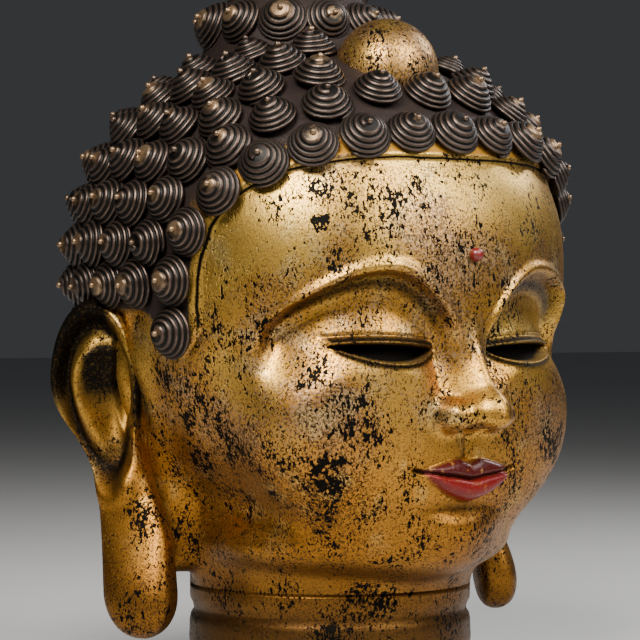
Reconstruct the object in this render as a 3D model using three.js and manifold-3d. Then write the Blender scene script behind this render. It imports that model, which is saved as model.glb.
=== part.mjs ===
// Head of a buddha, one bronze casting with snail-shell curls, long ear lobes, a crown knot with a smooth
// jewel at its foot and a small red bead let into the forehead. It is cut off level at the foot of the neck.
//
// Built on the carvers' canon, in which one finger-breadth measures everything: the nose, the forehead and the
// chin are each four fingers high. All shapes are worked out in fingers and turned into millimetres at the end.
// +Z is up, the face looks towards -Y, +X is the figure's left, and the origin is the middle of the underside.
// Inside the file a point is (x, f, z), where f counts forwards, so y = -f.

import * as THREE from "three";
import { mergeVertices } from "three/addons/utils/BufferGeometryUtils.js";
import Module from "manifold-3d";

// driving sizes
const FINGER = 20; // millimetres in one finger-breadth
const SEAT_GAP = 0.3 / FINGER; // clear space between the bead and its seat

// heights above the underside, in fingers
const NOSE_FOOT = 8;
const HAIRLINE = 15.7;
const EQUATOR = 13; // widest level of the skull
const NAPE = 7.7; // lower edge of the hair behind
const CHIN = 3.2; // level where the rays of the skin start to tip down to reach under the chin

// skull and neck, in fingers
const SKULL = { side: 6.75, front: 7.25, back: 6.65, up: 6.2, square: 2.4 };
const NECK = { radius: 4.25, forward: 0.5, foot: 0.15, top: 7, fillet: 0.6 };
const NECK_FOLDS = { heights: [1.2, 2.45], depth: 0.14, width: 0.17 }; // rings carved round the throat

// eggs that run into the skull: middle, half sizes and fillet
const FACE_EGGS = [
  { at: [0, 1.2, 9.8], size: [6.2, 5.85, 5.6], fillet: 1.6 }, // face
  { at: [2.7, 4.5, 8.0], size: [2.6, 2.0, 2.6], fillet: 1.6 }, // cheek
  { at: [0, 4.4, 6.6], size: [3.4, 2.4, 2.5], fillet: 1.4 }, // ground of the mouth
  { at: [0, 5.6, 5.15], size: [1.5, 1.25, 1.1], fillet: 1.0 }, // chin
  { at: [0, 1.8, 4.6], size: [4.75, 4.1, 1.35], fillet: 1.0 }, // underside of the jaw
];
const JAW = { from: [5.5, -1.2, 9.5], to: [4.8, -0.9, 4.4], radii: [0.9, 0.75], fillet: 1.3 };

// crown knot and jewel, in fingers: middle and half sizes
const KNOT = { at: [0, -1.25, 19.05], size: [2.75, 2.75, 2.6] };
const JEWEL = { at: [0, 3.25, 18.4], size: [1.55, 1.55, 1.6] };
const BEAD = { at: [0, 7.36, 12.95], radius: 0.2 };

// curls, in fingers
const CURL = { radius: 0.72, height: 0.93, belly: 0.24, root: 1.1, pitch: 1.42, sides: 5, clear: 0.3 };
const ROW_STEP = 1.13; // distance between neighbouring rows
const CROWDED = 0.72; // least distance between two curls, as a share of the pitch
const TEMPLE = 73; // degrees round from the nose to the middle of the last curls before the ear
const SIDEBURN = 10.75; // height of the lowest of them
const FRONT_ROW = 16.4; // height of the row over the forehead
const ARCH_POWER = 2.6; // how square the front row's arch is
const ROWS = { top: -7.06, count: 11, turn: 6.6 }; // first row and rows in all, counted down from the crown
const KNOT_ROWS = [-10, 22, 54]; // levels of the rings on the crown knot, in degrees
const EAR_ARC = 118; // degrees round, where the hair starts again behind the ear
const EAR_ARCH = 11.9; // hair passes over the ear above this height
const SETTLE = { rounds: 14, reach: 1.2, give: 0.22, jewel: 0.35 }; // how the curls shift apart

// ears, in fingers
const EAR = { foot: 1.9, middle: 9.3, top: 11.75, root: [6.35, -1.0], flare: 32, thick: 0.42 };
const LOBE = { middle: -0.1, back: 0.97, front: -1.15, round: 1.35, out: 0.4, forward: 1.3 };
const SHELL = { middle: 0.95, half: 1.45, below: 3.9, shift: 0.55, front: -0.5 };

// hair cap: how far it stands over the skin, and the front edge, lower edges and ear opening that bound it
const CAP = { proud: 0.2, front: 2.6, temple: 10, ear: [-3.6, 0.9], arch: 11.5, width: 6.45, power: 3.2 };

// how finely the surfaces are cut into facets
const SKIN = { face: 11, behind: 4, cheek: 75, crowding: 1.3, dip: 0.36 };
const SKIN_HEIGHTS = [0, CHIN, 5.4, 7.7, EQUATOR]; // stretches of rays up the axis
const SKIN_COUNTS = [5, 4, 10, 9]; // rays in each stretch
const CROWN_TIPS = [0, 0.17, 0.34, 0.5];
const CAP_GRID = { around: 18, up: 9, step: 1.5 };
const EAR_GRID = { around: 12, up: 13 };

// small tools for soft shapes
const clamp = (t, a = 0, b = 1) => Math.min(Math.max(t, a), b);
const ease = (t) => clamp(t) ** 2 * (3 - 2 * clamp(t));
const bell = (t) => Math.exp(-t * t);
const radians = THREE.MathUtils.degToRad;

function join(a, b, k) {
  const h = Math.max(k - Math.abs(a - b), 0) / k;
  return Math.min(a, b) - (h * h * k) / 4;
}

const cut = (a, b, k) => -join(-a, -b, k);

// distance to an egg, close enough near its skin
function egg(x, f, z, [cx, cf, cz], [rx, rf, rz]) {
  const p = [(x - cx) / rx, (f - cf) / rf, (z - cz) / rz];
  const k0 = Math.hypot(...p);
  const k1 = Math.hypot(p[0] / rx, p[1] / rf, p[2] / rz);
  return (k0 * (k0 - 1)) / Math.max(k1, 1e-9);
}

// distance to a tapering limb between two points
function limb(x, f, z, a, b, ra, rb) {
  const d = [b[0] - a[0], b[1] - a[1], b[2] - a[2]];
  const p = [x - a[0], f - a[1], z - a[2]];
  const t = clamp((p[0] * d[0] + p[1] * d[1] + p[2] * d[2]) / (d[0] ** 2 + d[1] ** 2 + d[2] ** 2));
  return Math.hypot(p[0] - t * d[0], p[1] - t * d[1], p[2] - t * d[2]) - (ra + (rb - ra) * t);
}

// skull: an egg whose level slices are a little squarer than an ellipse
function skull(x, f, z) {
  const deep = f < 0 ? SKULL.back : SKULL.front;
  const n = SKULL.square;
  const level = (Math.abs(x / SKULL.side) ** n + Math.abs(f / deep) ** n) ** (1 / n);
  const out = Math.hypot(level, (z - EQUATOR) / SKULL.up);
  return Math.hypot(x, f, z - EQUATOR) * (1 - 1 / Math.max(out, 1e-6));
}

// head without features: skull, cheeks, jaw, chin and neck
function bulk(x, f, z) {
  let d = skull(x, f, z);
  for (const { at, size, fillet } of FACE_EGGS) d = join(d, egg(x, f, z, at, size), fillet);
  d = join(d, limb(x, f, z, JAW.from, JAW.to, ...JAW.radii), JAW.fillet);
  const { heights, depth, width } = NECK_FOLDS;
  const fold = heights.reduce((sum, level) => sum + depth * bell((z - level) / width), 0);
  const radius = NECK.radius + NECK.foot * bell(z / 1.2) - fold;
  const neck = Math.max(Math.hypot(x, f - NECK.forward) - radius, z - NECK.top);
  return join(d, neck, NECK.fillet);
}

// lines of the face, as heights for a distance x from the middle
const browLine = (x) => 12.5 - (x > 2.75 ? 0.2 : 0.36) * (x - 2.75) ** 2;
const eyeSpan = (x) => (x - 1) / 2.95;
const eyeArch = (x) => clamp(4 * eyeSpan(x) * (1 - eyeSpan(x)));
const lidUpper = (x) => 10.28 + 0.1 * eyeSpan(x) + 0.1 * eyeArch(x) ** 0.8;
const lidLower = (x) => 10.28 + 0.1 * eyeSpan(x) - 0.42 * eyeArch(x) ** 0.75;
const mouthLine = (x) => 6.66 + 0.17 * (x / 1.6) ** 2 - 0.07 * bell(x / 0.34);
const lipTop = (x) => mouthLine(x) + 0.6 * (1 - clamp(x / 1.66) ** 1.5) - 0.13 * bell(x / 0.24);
const lipFoot = (x) => mouthLine(x) - 0.66 * (1 - clamp(x / 1.5) ** 2) ** 0.75;

// hollow under the brow line
function brow(x, z) {
  const below = browLine(x) - z;
  const across = ease((x - 0.35) / 0.6) * (1 - ease((x - 4.7) / 1.1));
  return 0.6 * ease((below + 0.1) / 0.8) * (1 - ease((below - 0.9) / 2)) * across;
}

// ball of the eye under its lids
function eyeball(x, f, z) {
  const turn = radians(20);
  const [ex, ef] = [x - 2.55, f - 5.15];
  const u = ex * Math.cos(turn) - ef * Math.sin(turn);
  const v = ex * Math.sin(turn) + ef * Math.cos(turn);
  return egg(u, v, z, [0, 0, 10.62], [1.82, 1.02, 1.12]);
}

// opening between the lids, as a groove
function slit(x, z) {
  const middle = (lidUpper(x) + lidLower(x)) / 2;
  return 0.2 * bell((z - middle) / 0.28) * ease((x - 0.7) / 0.6) * (1 - ease((x - 3.5) / 0.8));
}

// nose: a ridge with sloping sides, a rounded tip and two wings
function nose(x, f, z) {
  const t = clamp((12.4 - z) / 4.1);
  const ridge = 6.65 + 0.35 * t + 1.6 * t ** 1.35;
  const slope = (ridge - 6.05 - 0.45 * t) / (0.5 + 0.55 * t);
  const round = 0.1 + 0.14 * t;
  let d = (f - ridge + slope * (Math.hypot(x, round) - round)) / Math.hypot(1, slope);
  d = cut(d, NOSE_FOOT + 0.02 + 0.1 * (f - 6.9) - z, 0.25);
  d = cut(d, z - 12.9, 0.8);
  d = Math.max(d, 4.9 - f);
  d = join(d, egg(x, f, z, [0, 7.88, 8.5], [0.66, 0.7, 0.56]), 0.35);
  return join(d, egg(x, f, z, [0.78, 7.2, 8.42], [0.5, 0.75, 0.47]), 0.16);
}

// lips with the crease between them and the hollow under them
function mouth(x, z) {
  const [middle, top, foot] = [mouthLine(x), lipTop(x), lipFoot(x)];
  const up = (z - middle) / Math.max(top - middle, 0.02);
  const down = (middle - z) / Math.max(middle - foot, 0.02);
  const inside = 1 - ease((x - 1.45) / 0.2);
  const upper = up > 0 && up < 1 ? 0.26 * Math.sqrt(1 - up ** 2.2) * ease((top - middle) / 0.3) : 0;
  const full = down > 0 && down < 1 ? 1 - Math.abs(2 * down - 0.9) ** 2.4 / 1.3 : 0;
  const lower = 0.34 * Math.sqrt(clamp(full)) * ease((middle - foot) / 0.3);
  const crease = 0.22 * bell((z - middle) / 0.16) * (1 - ease((x - 1.5) / 0.5));
  const under = 0.22 * bell(x / 1.25) * bell((z - 5.72) / 0.3);
  return crease + under - (upper + lower) * inside;
}

// bare head with its face: below zero inside
function flesh(px, f, z) {
  const x = Math.abs(px);
  const front = ease((f - 1.5) / 1.5);
  let d = bulk(x, f, z) + front * brow(x, z);
  d = join(d, eyeball(x, f, z), 0.28);
  d = join(d, nose(x, f, z), 0.3);
  return d + front * (mouth(x, z) + slit(x, z));
}

// ground that the curls stand on
function ground(x, f, z) {
  return join(bulk(Math.abs(x), f, z) - CAP.proud, egg(x, f, z, KNOT.at, KNOT.size), 0.3);
}

// first way out of a shape along a ray from a point inside
function surface(origin, way, shape = ground) {
  const at = (t) => shape(origin[0] + t * way[0], origin[1] + t * way[1], origin[2] + t * way[2]);
  let [low, high] = [1, 1.2];
  while (at(high) < 0 && high < 14) [low, high] = [high, high + 0.2];
  for (let i = 0; i < 22; i += 1) {
    const middle = (low + high) / 2;
    if (at(middle) < 0) low = middle;
    else high = middle;
  }
  return origin.map((v, i) => v + low * way[i]);
}

// outward direction of the skin at a point
function normal(p) {
  const e = 0.08;
  const n = [0, 1, 2].map((k) => {
    const [a, b] = [p.slice(), p.slice()];
    a[k] += e;
    b[k] -= e;
    return ground(...a) - ground(...b);
  });
  return new THREE.Vector3(...n).normalize();
}

// closed skin over a grid: each row of points runs round, and both ends are drawn together to a point
function closedGrid(rows, foot, top) {
  const around = rows[0].length;
  const points = [...rows.flat(), foot, top];
  const faces = [];
  for (let r = 0; r + 1 < rows.length; r += 1) {
    for (let c = 0; c < around; c += 1) {
      const next = (c + 1) % around;
      const [a, b] = [r * around + c, r * around + next];
      const [d, e] = [a + around, b + around];
      faces.push(a, b, e, a, e, d);
    }
  }
  const [first, last] = [points.length - 2, points.length - 1];
  const end = (rows.length - 1) * around;
  for (let c = 0; c < around; c += 1) {
    const next = (c + 1) % around;
    faces.push(first, next, c);
    faces.push(last, end + c, end + next);
  }
  const geometry = new THREE.BufferGeometry();
  const place = points.flatMap(([x, f, z]) => [x, -f, z]);
  geometry.setAttribute("position", new THREE.Float32BufferAttribute(place, 3));
  geometry.setIndex(faces);
  return geometry;
}

// direction of a ray, by its turn round from the nose and its tip above level, in radians
const aim = (turn, tip) => [Math.sin(turn) * Math.cos(tip), Math.cos(turn) * Math.cos(tip), Math.sin(tip)];

// rays of the skin, lowest first: level up the neck, tipped down under the chin, level over the face and
// fanned out over the skull
function skinRays() {
  const rays = [];
  SKIN_COUNTS.forEach((count, k) => {
    const [from, to] = [SKIN_HEIGHTS[k], SKIN_HEIGHTS[k + 1]];
    for (let r = 0; r < count; r += 1) {
      const height = from + ((to - from) * r) / count;
      const t = clamp((height - CHIN) / (SKIN_HEIGHTS[3] - CHIN));
      rays.push([height, -SKIN.dip * Math.sin(Math.PI * t)]);
    }
  });
  CROWN_TIPS.forEach((tip) => rays.push([EQUATOR, tip]));
  return rays;
}

// turns round the head: close together over the face, wide apart behind
function bearings() {
  const half = [];
  for (let c = 0; c <= SKIN.face; c += 1) half.push(radians(SKIN.cheek) * (c / SKIN.face) ** SKIN.crowding);
  for (let c = 1; c <= SKIN.behind; c += 1) {
    half.push(radians(SKIN.cheek + ((180 - SKIN.cheek) * c) / SKIN.behind));
  }
  return [...half, ...half.slice(1, -1).reverse().map((turn) => 2 * Math.PI - turn)];
}

function skinShape() {
  const turns = bearings();
  const rows = skinRays().map(([height, tip]) =>
    turns.map((turn) => surface([0, 0, height], aim(turn, tip), flesh)),
  );
  return closedGrid(rows, [0, 0, 0], surface([0, 0, EQUATOR], [0, 0, 1], flesh));
}

// coarse hull of the hair, before the face and the ears are cut free
function capHull() {
  const rows = [];
  for (let r = 0; r < CAP_GRID.up; r += 1) {
    const height = Math.min(NAPE + r * CAP_GRID.step, EQUATOR);
    const over = Math.max(NAPE + r * CAP_GRID.step - EQUATOR, 0);
    const row = [];
    for (let c = 0; c < CAP_GRID.around; c += 1) {
      const turn = (c / CAP_GRID.around) * 2 * Math.PI;
      row.push(surface([0, 0, height], aim(turn, over / 5.6)));
    }
    rows.push(row);
  }
  return closedGrid(rows, [0, 0, NAPE], surface([0, 0, EQUATOR], [0, 0, 1]));
}

const block = (x, f, z) =>
  new THREE.BoxGeometry(x[1] - x[0], f[1] - f[0], z[1] - z[0]).translate(
    (x[0] + x[1]) / 2,
    -(f[0] + f[1]) / 2,
    (z[0] + z[1]) / 2,
  );

// arch over the face, as a prism that reaches from the temples forwards
function faceArch() {
  const outline = new THREE.Shape();
  const steps = 24;
  const power = 2 / CAP.power;
  for (let i = 0; i <= steps; i += 1) {
    const a = (i / steps) * Math.PI;
    const x = Math.sign(Math.cos(a)) * CAP.width * Math.abs(Math.cos(a)) ** power;
    const z = CAP.temple + (HAIRLINE - CAP.temple) * Math.sin(a) ** power;
    outline[i ? "lineTo" : "moveTo"](x, z);
  }
  outline.lineTo(-CAP.width, NAPE - 1);
  outline.lineTo(CAP.width, NAPE - 1);
  const depth = 8;
  return new THREE.ExtrudeGeometry(outline, { depth, bevelEnabled: false })
    .rotateX(Math.PI / 2)
    .translate(0, -CAP.front, 0);
}

// outline of the ear in its own plane: how far it reaches behind and in front of its root line
function earReach(z) {
  const over = z > EAR.middle;
  const upper = Math.sqrt(clamp(1 - ((z - EAR.middle) / (EAR.top - EAR.middle)) ** 2));
  const foot = Math.sqrt(clamp(1 - clamp((EAR.foot - z) / LOBE.round + 1) ** 2));
  const widest = SHELL.middle + SHELL.half;
  const taper = ease((z - 5.2) / 4.1) ** 1.7;
  const back = over ? SHELL.middle + SHELL.half * upper : LOBE.back + (widest - LOBE.back) * taper;
  const step = ease((7.6 - z) / 3.2);
  const front = over ? SHELL.middle - SHELL.half * upper : SHELL.front + (LOBE.front - SHELL.front) * step;
  return [LOBE.middle + (back - LOBE.middle) * foot, LOBE.middle + (front - LOBE.middle) * foot];
}

// distance in from the outline of the shell of the ear
function earInset(u, z) {
  const tall = z > EAR.middle ? EAR.top - EAR.middle : SHELL.below;
  const centre = SHELL.middle - SHELL.shift * clamp((EAR.middle - z) / SHELL.below);
  return (1 - Math.hypot((u - centre) / SHELL.half, (z - EAR.middle) / tall)) * SHELL.half;
}

// hollow of the bowl, which the back of the ear follows
const earDish = (u, z) => -0.5 * bell((u - 0.35) / 0.7) * bell((z - 8.3) / 1.7);

// carving on the outer face of the ear: rolled rim, groove, inner ridge, bowl, lip, flap and lobe
function earRelief(u, z) {
  const inset = earInset(u, z);
  const shell = ease((z - 5.3) / 1);
  const behind = ease((u - 0.55) / 0.5);
  const rim = 0.26 * bell((inset - 0.13) / 0.2);
  const groove = -0.34 * bell((inset - 0.52) / 0.22) * ease((u + 0.1) / 0.5);
  const ridge = 0.2 * bell((inset - 0.98) / 0.2) * behind * ease((10.6 - z) / 0.8);
  const bowl = -0.3 * bell((u - 0.2) / 0.55) * bell((z - 8.6) / 1.3);
  const lip = 0.22 * bell((u - 0.25) / 0.5) * bell((z - 6.55) / 0.4);
  const flap = 0.2 * bell((u + 0.45) / 0.25) * bell((z - 7.7) / 0.6);
  const lobe = 0.12 * bell((z - EAR.foot - 1.3) / 1.3);
  return shell * (rim + groove + ridge + bowl) + lip + flap + lobe;
}

// the plate thins out at its two ends
function earFade(z) {
  const t = (z - EAR.foot) / (EAR.top - EAR.foot);
  return Math.sqrt(clamp(1 - Math.abs(2 * t - 1) ** 14)) * (1 + 0.5 * (1 - ease(t / 0.5)));
}

// from the plane of the ear (u backwards, n outwards) to the head; the lobe hangs forwards and outwards
function earPoint(side, u, n, z) {
  const turn = radians(EAR.flare);
  const low = 1 - ease((z - EAR.foot) / 6.5);
  const across = EAR.root[0] + LOBE.out * low + u * Math.sin(turn) + n * Math.cos(turn);
  const along = EAR.root[1] + LOBE.forward * low - u * Math.cos(turn) + n * Math.sin(turn);
  return [side * across, along, z];
}

// one ear: level slices round a flat plate with a carved outer face; side is 1 on the figure's left
function earShape(side) {
  const rows = [];
  for (let r = 1; r < EAR_GRID.up; r += 1) {
    const s = r / EAR_GRID.up;
    const z = EAR.foot + (EAR.top - EAR.foot) * (0.5 - 0.5 * Math.cos(Math.PI * s));
    const [back, front] = earReach(z);
    const row = [];
    for (let c = 0; c < EAR_GRID.around; c += 1) {
      const a = (c / EAR_GRID.around) * 2 * Math.PI;
      const u = (back + front) / 2 + ((back - front) / 2) * Math.cos(a);
      const edge = Math.sign(Math.sin(a)) * Math.sqrt(Math.abs(Math.sin(a)));
      const face = a < Math.PI ? EAR.thick + earRelief(u, z) : EAR.thick;
      row.push(earPoint(side, u, edge * face * earFade(z) + earDish(u, z) * Math.abs(edge), z));
    }
    rows.push(side > 0 ? row.reverse() : row);
  }
  const foot = earPoint(side, LOBE.middle, 0, EAR.foot);
  return closedGrid(rows, foot, earPoint(side, SHELL.middle, 0, EAR.top));
}

// middle points of the curls: the arch over the face and the rings of the knot keep their places, and the
// rows on the skull shift apart between them
function curlPlaces() {
  const fixed = [];
  const free = [];
  for (const place of [...archRow(), ...knotRows()]) {
    if (nearest(place, fixed) > CROWDED * CURL.pitch) fixed.push(place);
  }
  for (const place of skullRows()) {
    if (nearest(place, [...fixed, ...free]) > CROWDED * CURL.pitch) free.push(place);
  }
  return [...fixed, ...settled(free, fixed)];
}

// free curls pushed apart by their neighbours and by the jewel, round by round, and set back on the ground
function settled(free, fixed) {
  const reach = SETTLE.reach * CURL.pitch;
  let places = free;
  for (let round = 0; round < SETTLE.rounds; round += 1) {
    const all = [...fixed, ...places];
    places = places.map((p) => {
      const shift = [0, 0, 0];
      for (const q of all) {
        const away = p.map((v, i) => v - q[i]);
        const gap = Math.hypot(...away);
        if (gap < 1e-6 || gap > reach) continue;
        for (const i of [0, 1, 2]) shift[i] += (SETTLE.give * (reach - gap) * away[i]) / gap;
      }
      const off = p.map((v, i) => v - JEWEL.at[i]);
      const press = Math.max(SETTLE.jewel - egg(...p, JEWEL.at, JEWEL.size), 0) / Math.hypot(...off);
      if (p[2] < EAR_ARCH + ROW_STEP) shift[2] = 0;
      return grounded(p.map((v, i) => v + shift[i] + press * off[i]));
    });
  }
  return places;
}

// nearest point of the ground, in two steps down its slope
function grounded(place) {
  let p = place;
  for (let step = 0; step < 2; step += 1) {
    const [height, out] = [ground(...p), normal(p)];
    p = p.map((v, i) => v - height * out.getComponent(i));
  }
  return p;
}

const nearest = (p, others) =>
  Math.min(...others.map((q) => Math.hypot(p[0] - q[0], p[1] - q[1], p[2] - q[2])), 99);

// a point on the skull by degrees round and by distance below the widest level, along the skin
function onSkull(round, below) {
  const turn = radians(round);
  const tip = Math.max(-below, 0) / ROWS.turn;
  return surface([0, 0, EQUATOR - Math.max(below, 0)], aim(turn, tip));
}

// the front row runs in an arch from one temple over the forehead to the other
function archPath(t) {
  const power = 2 / ARCH_POWER;
  const angle = t * (Math.PI / 2);
  const round = TEMPLE * Math.sin(angle) ** power;
  const height = SIDEBURN + (FRONT_ROW - SIDEBURN) * Math.cos(angle) ** power;
  const turn = radians(round);
  return surface([0, 0, height], aim(turn, 0));
}

function spaced(path, from, to, steps) {
  const fine = 160;
  const points = [];
  for (let i = 0; i <= fine; i += 1) points.push(path(from + ((to - from) * i) / fine));
  const length = [0];
  for (let i = 1; i <= fine; i += 1) {
    const [a, b] = [points[i - 1], points[i]];
    length.push(length[i - 1] + Math.hypot(a[0] - b[0], a[1] - b[1], a[2] - b[2]));
  }
  const count = steps(length[fine]);
  const result = [];
  for (let k = 0; k <= count; k += 1) {
    const goal = (length[fine] * k) / count;
    let i = 1;
    while (i < fine && length[i] < goal) i += 1;
    const s = (goal - length[i - 1]) / Math.max(length[i] - length[i - 1], 1e-9);
    result.push(points[i - 1].map((v, j) => v + s * (points[i][j] - v)));
  }
  return result;
}

function archRow() {
  const half = spaced(archPath, 0, 1, (length) => Math.round(length / CURL.pitch));
  return [...half, ...half.slice(1).map(([x, f, z]) => [-x, f, z])];
}

// rings round the skull, from the crown down: whole ones, less what lies in front of the arch or by the ear
function skullRows() {
  const list = [];
  for (let k = 0; k < ROWS.count; k += 1) {
    const below = ROWS.top + k * ROW_STEP;
    const start = onSkull(100, below)[2] < EAR_ARCH ? EAR_ARC : 0;
    const half = spaced((round) => onSkull(round, below), start, 180, (length) => {
      const count = length / CURL.pitch;
      return k % 2 ? Math.round(count) : Math.round(count - 0.5) + 0.5;
    });
    half.forEach((p) => list.push(...(p[0] > 0.1 ? [p, [-p[0], p[1], p[2]]] : [p])));
  }
  return list.filter((p) => clearOfCrown(p) && behindArch(p));
}

// whether a point lies behind the front row, an arch of degrees round by height
function behindArch([x, f, z]) {
  const round = THREE.MathUtils.radToDeg(Math.atan2(Math.abs(x), f)) / TEMPLE;
  const rise = Math.max(z - SIDEBURN, 0) / (FRONT_ROW - SIDEBURN);
  return round ** ARCH_POWER + rise ** ARCH_POWER > 1;
}

function clearOfCrown([x, f, z]) {
  return egg(x, f, z, KNOT.at, KNOT.size) > CURL.clear && egg(x, f, z, JEWEL.at, JEWEL.size) > CURL.clear;
}

// rings round the crown knot, and one curl on top
function knotRows() {
  const list = [];
  KNOT_ROWS.forEach((tip, ring) => {
    const up = radians(tip);
    const count = Math.round((2 * Math.PI * KNOT.size[0] * Math.cos(up)) / (CURL.pitch * 0.97));
    for (let i = 0; i < count; i += 1) {
      const turn = ((i + 0.5 * (ring % 2)) / count) * 2 * Math.PI;
      const p = surface(KNOT.at, aim(turn, up));
      if (egg(...p, JEWEL.at, JEWEL.size) > 0.2) list.push(p);
    }
  });
  list.push(surface(KNOT.at, [0, 0, 1]));
  return list;
}

// one curl: a cone with its widest ring just clear of the ground and a tapering root below it
function curlShape(place) {
  const out = normal(place);
  const spin = new THREE.Quaternion().setFromUnitVectors(new THREE.Vector3(0, 0, 1), out);
  const ring = [];
  for (let c = 0; c < CURL.sides; c += 1) {
    const a = (-c / CURL.sides) * 2 * Math.PI;
    const p = new THREE.Vector3(CURL.radius * Math.cos(a), CURL.radius * Math.sin(a), CURL.belly);
    p.applyQuaternion(spin);
    ring.push([p.x + place[0], p.y + place[1], p.z + place[2]]);
  }
  const end = (high) => place.map((v, i) => v + out.getComponent(i) * high);
  return closedGrid([ring], end(-CURL.root), end(CURL.height));
}

// from a closed mesh to a solid that can be joined and cut, and back
const wasm = await Module();
wasm.setup();

function toSolid(geometry) {
  const bare = geometry.clone();
  bare.deleteAttribute("normal");
  bare.deleteAttribute("uv");
  const merged = mergeVertices(bare, 1e-5);
  return new wasm.Manifold(new wasm.Mesh({
    numProp: 3,
    vertProperties: new Float32Array(merged.attributes.position.array),
    triVerts: new Uint32Array(merged.index.array),
  }));
}

function toMesh(solid, name, looks) {
  const { vertProperties, triVerts } = solid.getMesh();
  const geometry = new THREE.BufferGeometry();
  geometry.setAttribute("position", new THREE.Float32BufferAttribute(vertProperties, 3));
  geometry.setIndex(Array.from(triVerts));
  geometry.scale(FINGER, FINGER, FINGER);
  geometry.computeVertexNormals();
  const mesh = new THREE.Mesh(geometry, new THREE.MeshStandardMaterial(looks));
  mesh.name = name;
  return mesh;
}

function rounded([x, f, z], [rx, rf, rz], around, up) {
  const shape = new THREE.SphereGeometry(1, around, up).rotateX(Math.PI / 2);
  return shape.scale(rx, rf, rz).translate(x, -f, z);
}

const ball = (radius) => rounded(BEAD.at, [radius, radius, radius], 14, 9);

// the raised cap of hair: the hull with the face, the ears and the neck cut free
function hairCap() {
  const wide = [-9, 9];
  const cutters = [
    faceArch(),
    block(wide, CAP.ear, [0, CAP.arch]),
    block(wide, [CAP.ear[1], 9], [0, CAP.temple]),
  ];
  return cutters.reduce((solid, cutter) => solid.subtract(toSolid(cutter)), toSolid(capHull()));
}

// the casting: skin, ears and curls in one, with the seat for the bead cut out
function castHead() {
  let solid = toSolid(skinShape()).add(hairCap());
  solid = solid.add(toSolid(rounded(KNOT.at, KNOT.size, 10, 6)));
  solid = solid.add(toSolid(rounded(JEWEL.at, JEWEL.size, 12, 7)));
  for (const side of [-1, 1]) solid = solid.add(toSolid(earShape(side)));
  for (const place of curlPlaces()) solid = solid.add(toSolid(curlShape(place)));
  return solid.subtract(toSolid(ball(BEAD.radius + SEAT_GAP)));
}

const head = toMesh(castHead(), "head", { color: 0xb08436, roughness: 0.38, metalness: 0.85 });
const red = { color: 0x8f2a1c, roughness: 0.35, metalness: 0 };
const bead = toMesh(toSolid(ball(BEAD.radius)), "urna_bead", red);

const buddhaHead = new THREE.Group();
buddhaHead.add(head, bead);

export default buddhaHead;
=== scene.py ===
"""Head of a buddha in gilded and lacquered bronze, with a dark cap of snail-shell curls.

Every shape is worked out in finger-breadths, the measure of the carvers' canon, as (x, f, z): x towards the
figure's left, f forwards and z up from the cut of the neck. A finger is FINGER metres, and y is minus f.
Among the measures a hump is (middle, half width), and an edge is (where a soft step starts, how wide it is).
"""

import functools
import math
from types import SimpleNamespace as Sizes

import bpy
import numpy as np
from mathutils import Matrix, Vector


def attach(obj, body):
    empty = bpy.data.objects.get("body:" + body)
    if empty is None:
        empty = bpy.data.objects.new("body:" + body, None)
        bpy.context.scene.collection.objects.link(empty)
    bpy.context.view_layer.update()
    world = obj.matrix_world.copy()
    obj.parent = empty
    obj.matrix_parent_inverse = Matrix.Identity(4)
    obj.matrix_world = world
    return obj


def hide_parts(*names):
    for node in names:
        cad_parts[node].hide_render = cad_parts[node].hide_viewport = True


bl_info = {
    "name": "Gilded buddha head",
    "version": (1, 0, 0),
    "blender": (4, 5, 0),
    "location": "3D View > Sidebar > Buddha Head",
    "description": "Builds the head, its ears, curls, jewel and forehead bead around the packed frame",
    "category": "Add Mesh",
}

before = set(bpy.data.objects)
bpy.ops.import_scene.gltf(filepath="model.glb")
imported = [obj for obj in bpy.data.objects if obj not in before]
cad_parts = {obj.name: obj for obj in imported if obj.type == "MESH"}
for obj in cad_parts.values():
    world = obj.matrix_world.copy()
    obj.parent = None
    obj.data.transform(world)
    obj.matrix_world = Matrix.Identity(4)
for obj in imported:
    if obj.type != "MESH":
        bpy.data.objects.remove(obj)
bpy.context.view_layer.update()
FINGER = 0.020

# heights of the head
EQUATOR = 13.0
HAIRLINE = 15.7
NAPE = 7.7
CHIN = 3.2

# skull, eggs that fill out the face (middle, half sizes, fillet), jaw and neck
SKULL = Sizes(side=6.75, front=7.25, back=6.65, up=6.2, square=2.4)
FACE_EGGS = {
    "face": ((0, 1.2, 9.8), (6.2, 5.85, 5.6), 1.6),
    "cheek": ((2.7, 4.5, 8.0), (2.6, 2.0, 2.6), 1.6),
    "mouth": ((0, 4.4, 6.6), (3.4, 2.4, 2.5), 1.4),
    "chin": ((0, 5.6, 5.15), (1.5, 1.25, 1.1), 1.0),
    "throat": ((0, 1.8, 4.6), (4.75, 4.1, 1.35), 1.0),
}
JAW = Sizes(top=(5.5, -1.2, 9.5), foot=(4.8, -0.9, 4.4), radii=(0.9, 0.75), fillet=1.3)
NECK = Sizes(radius=4.25, forward=0.5, flare=0.15, flare_tall=1.2, top=7.0, fillet=0.6)
NECK_FOLDS = Sizes(heights=(1.2, 2.45), deep=0.14, half=0.17)

# crown knot, jewel and forehead bead: middle and half sizes
KNOT = ((0, -1.25, 19.05), (2.75, 2.75, 2.6))
KNOT_FILLET = 0.6
JEWEL = ((0, 3.25, 18.4), (1.55, 1.55, 1.6))
BEAD = ((0, 7.36, 12.95), 0.2)

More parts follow.
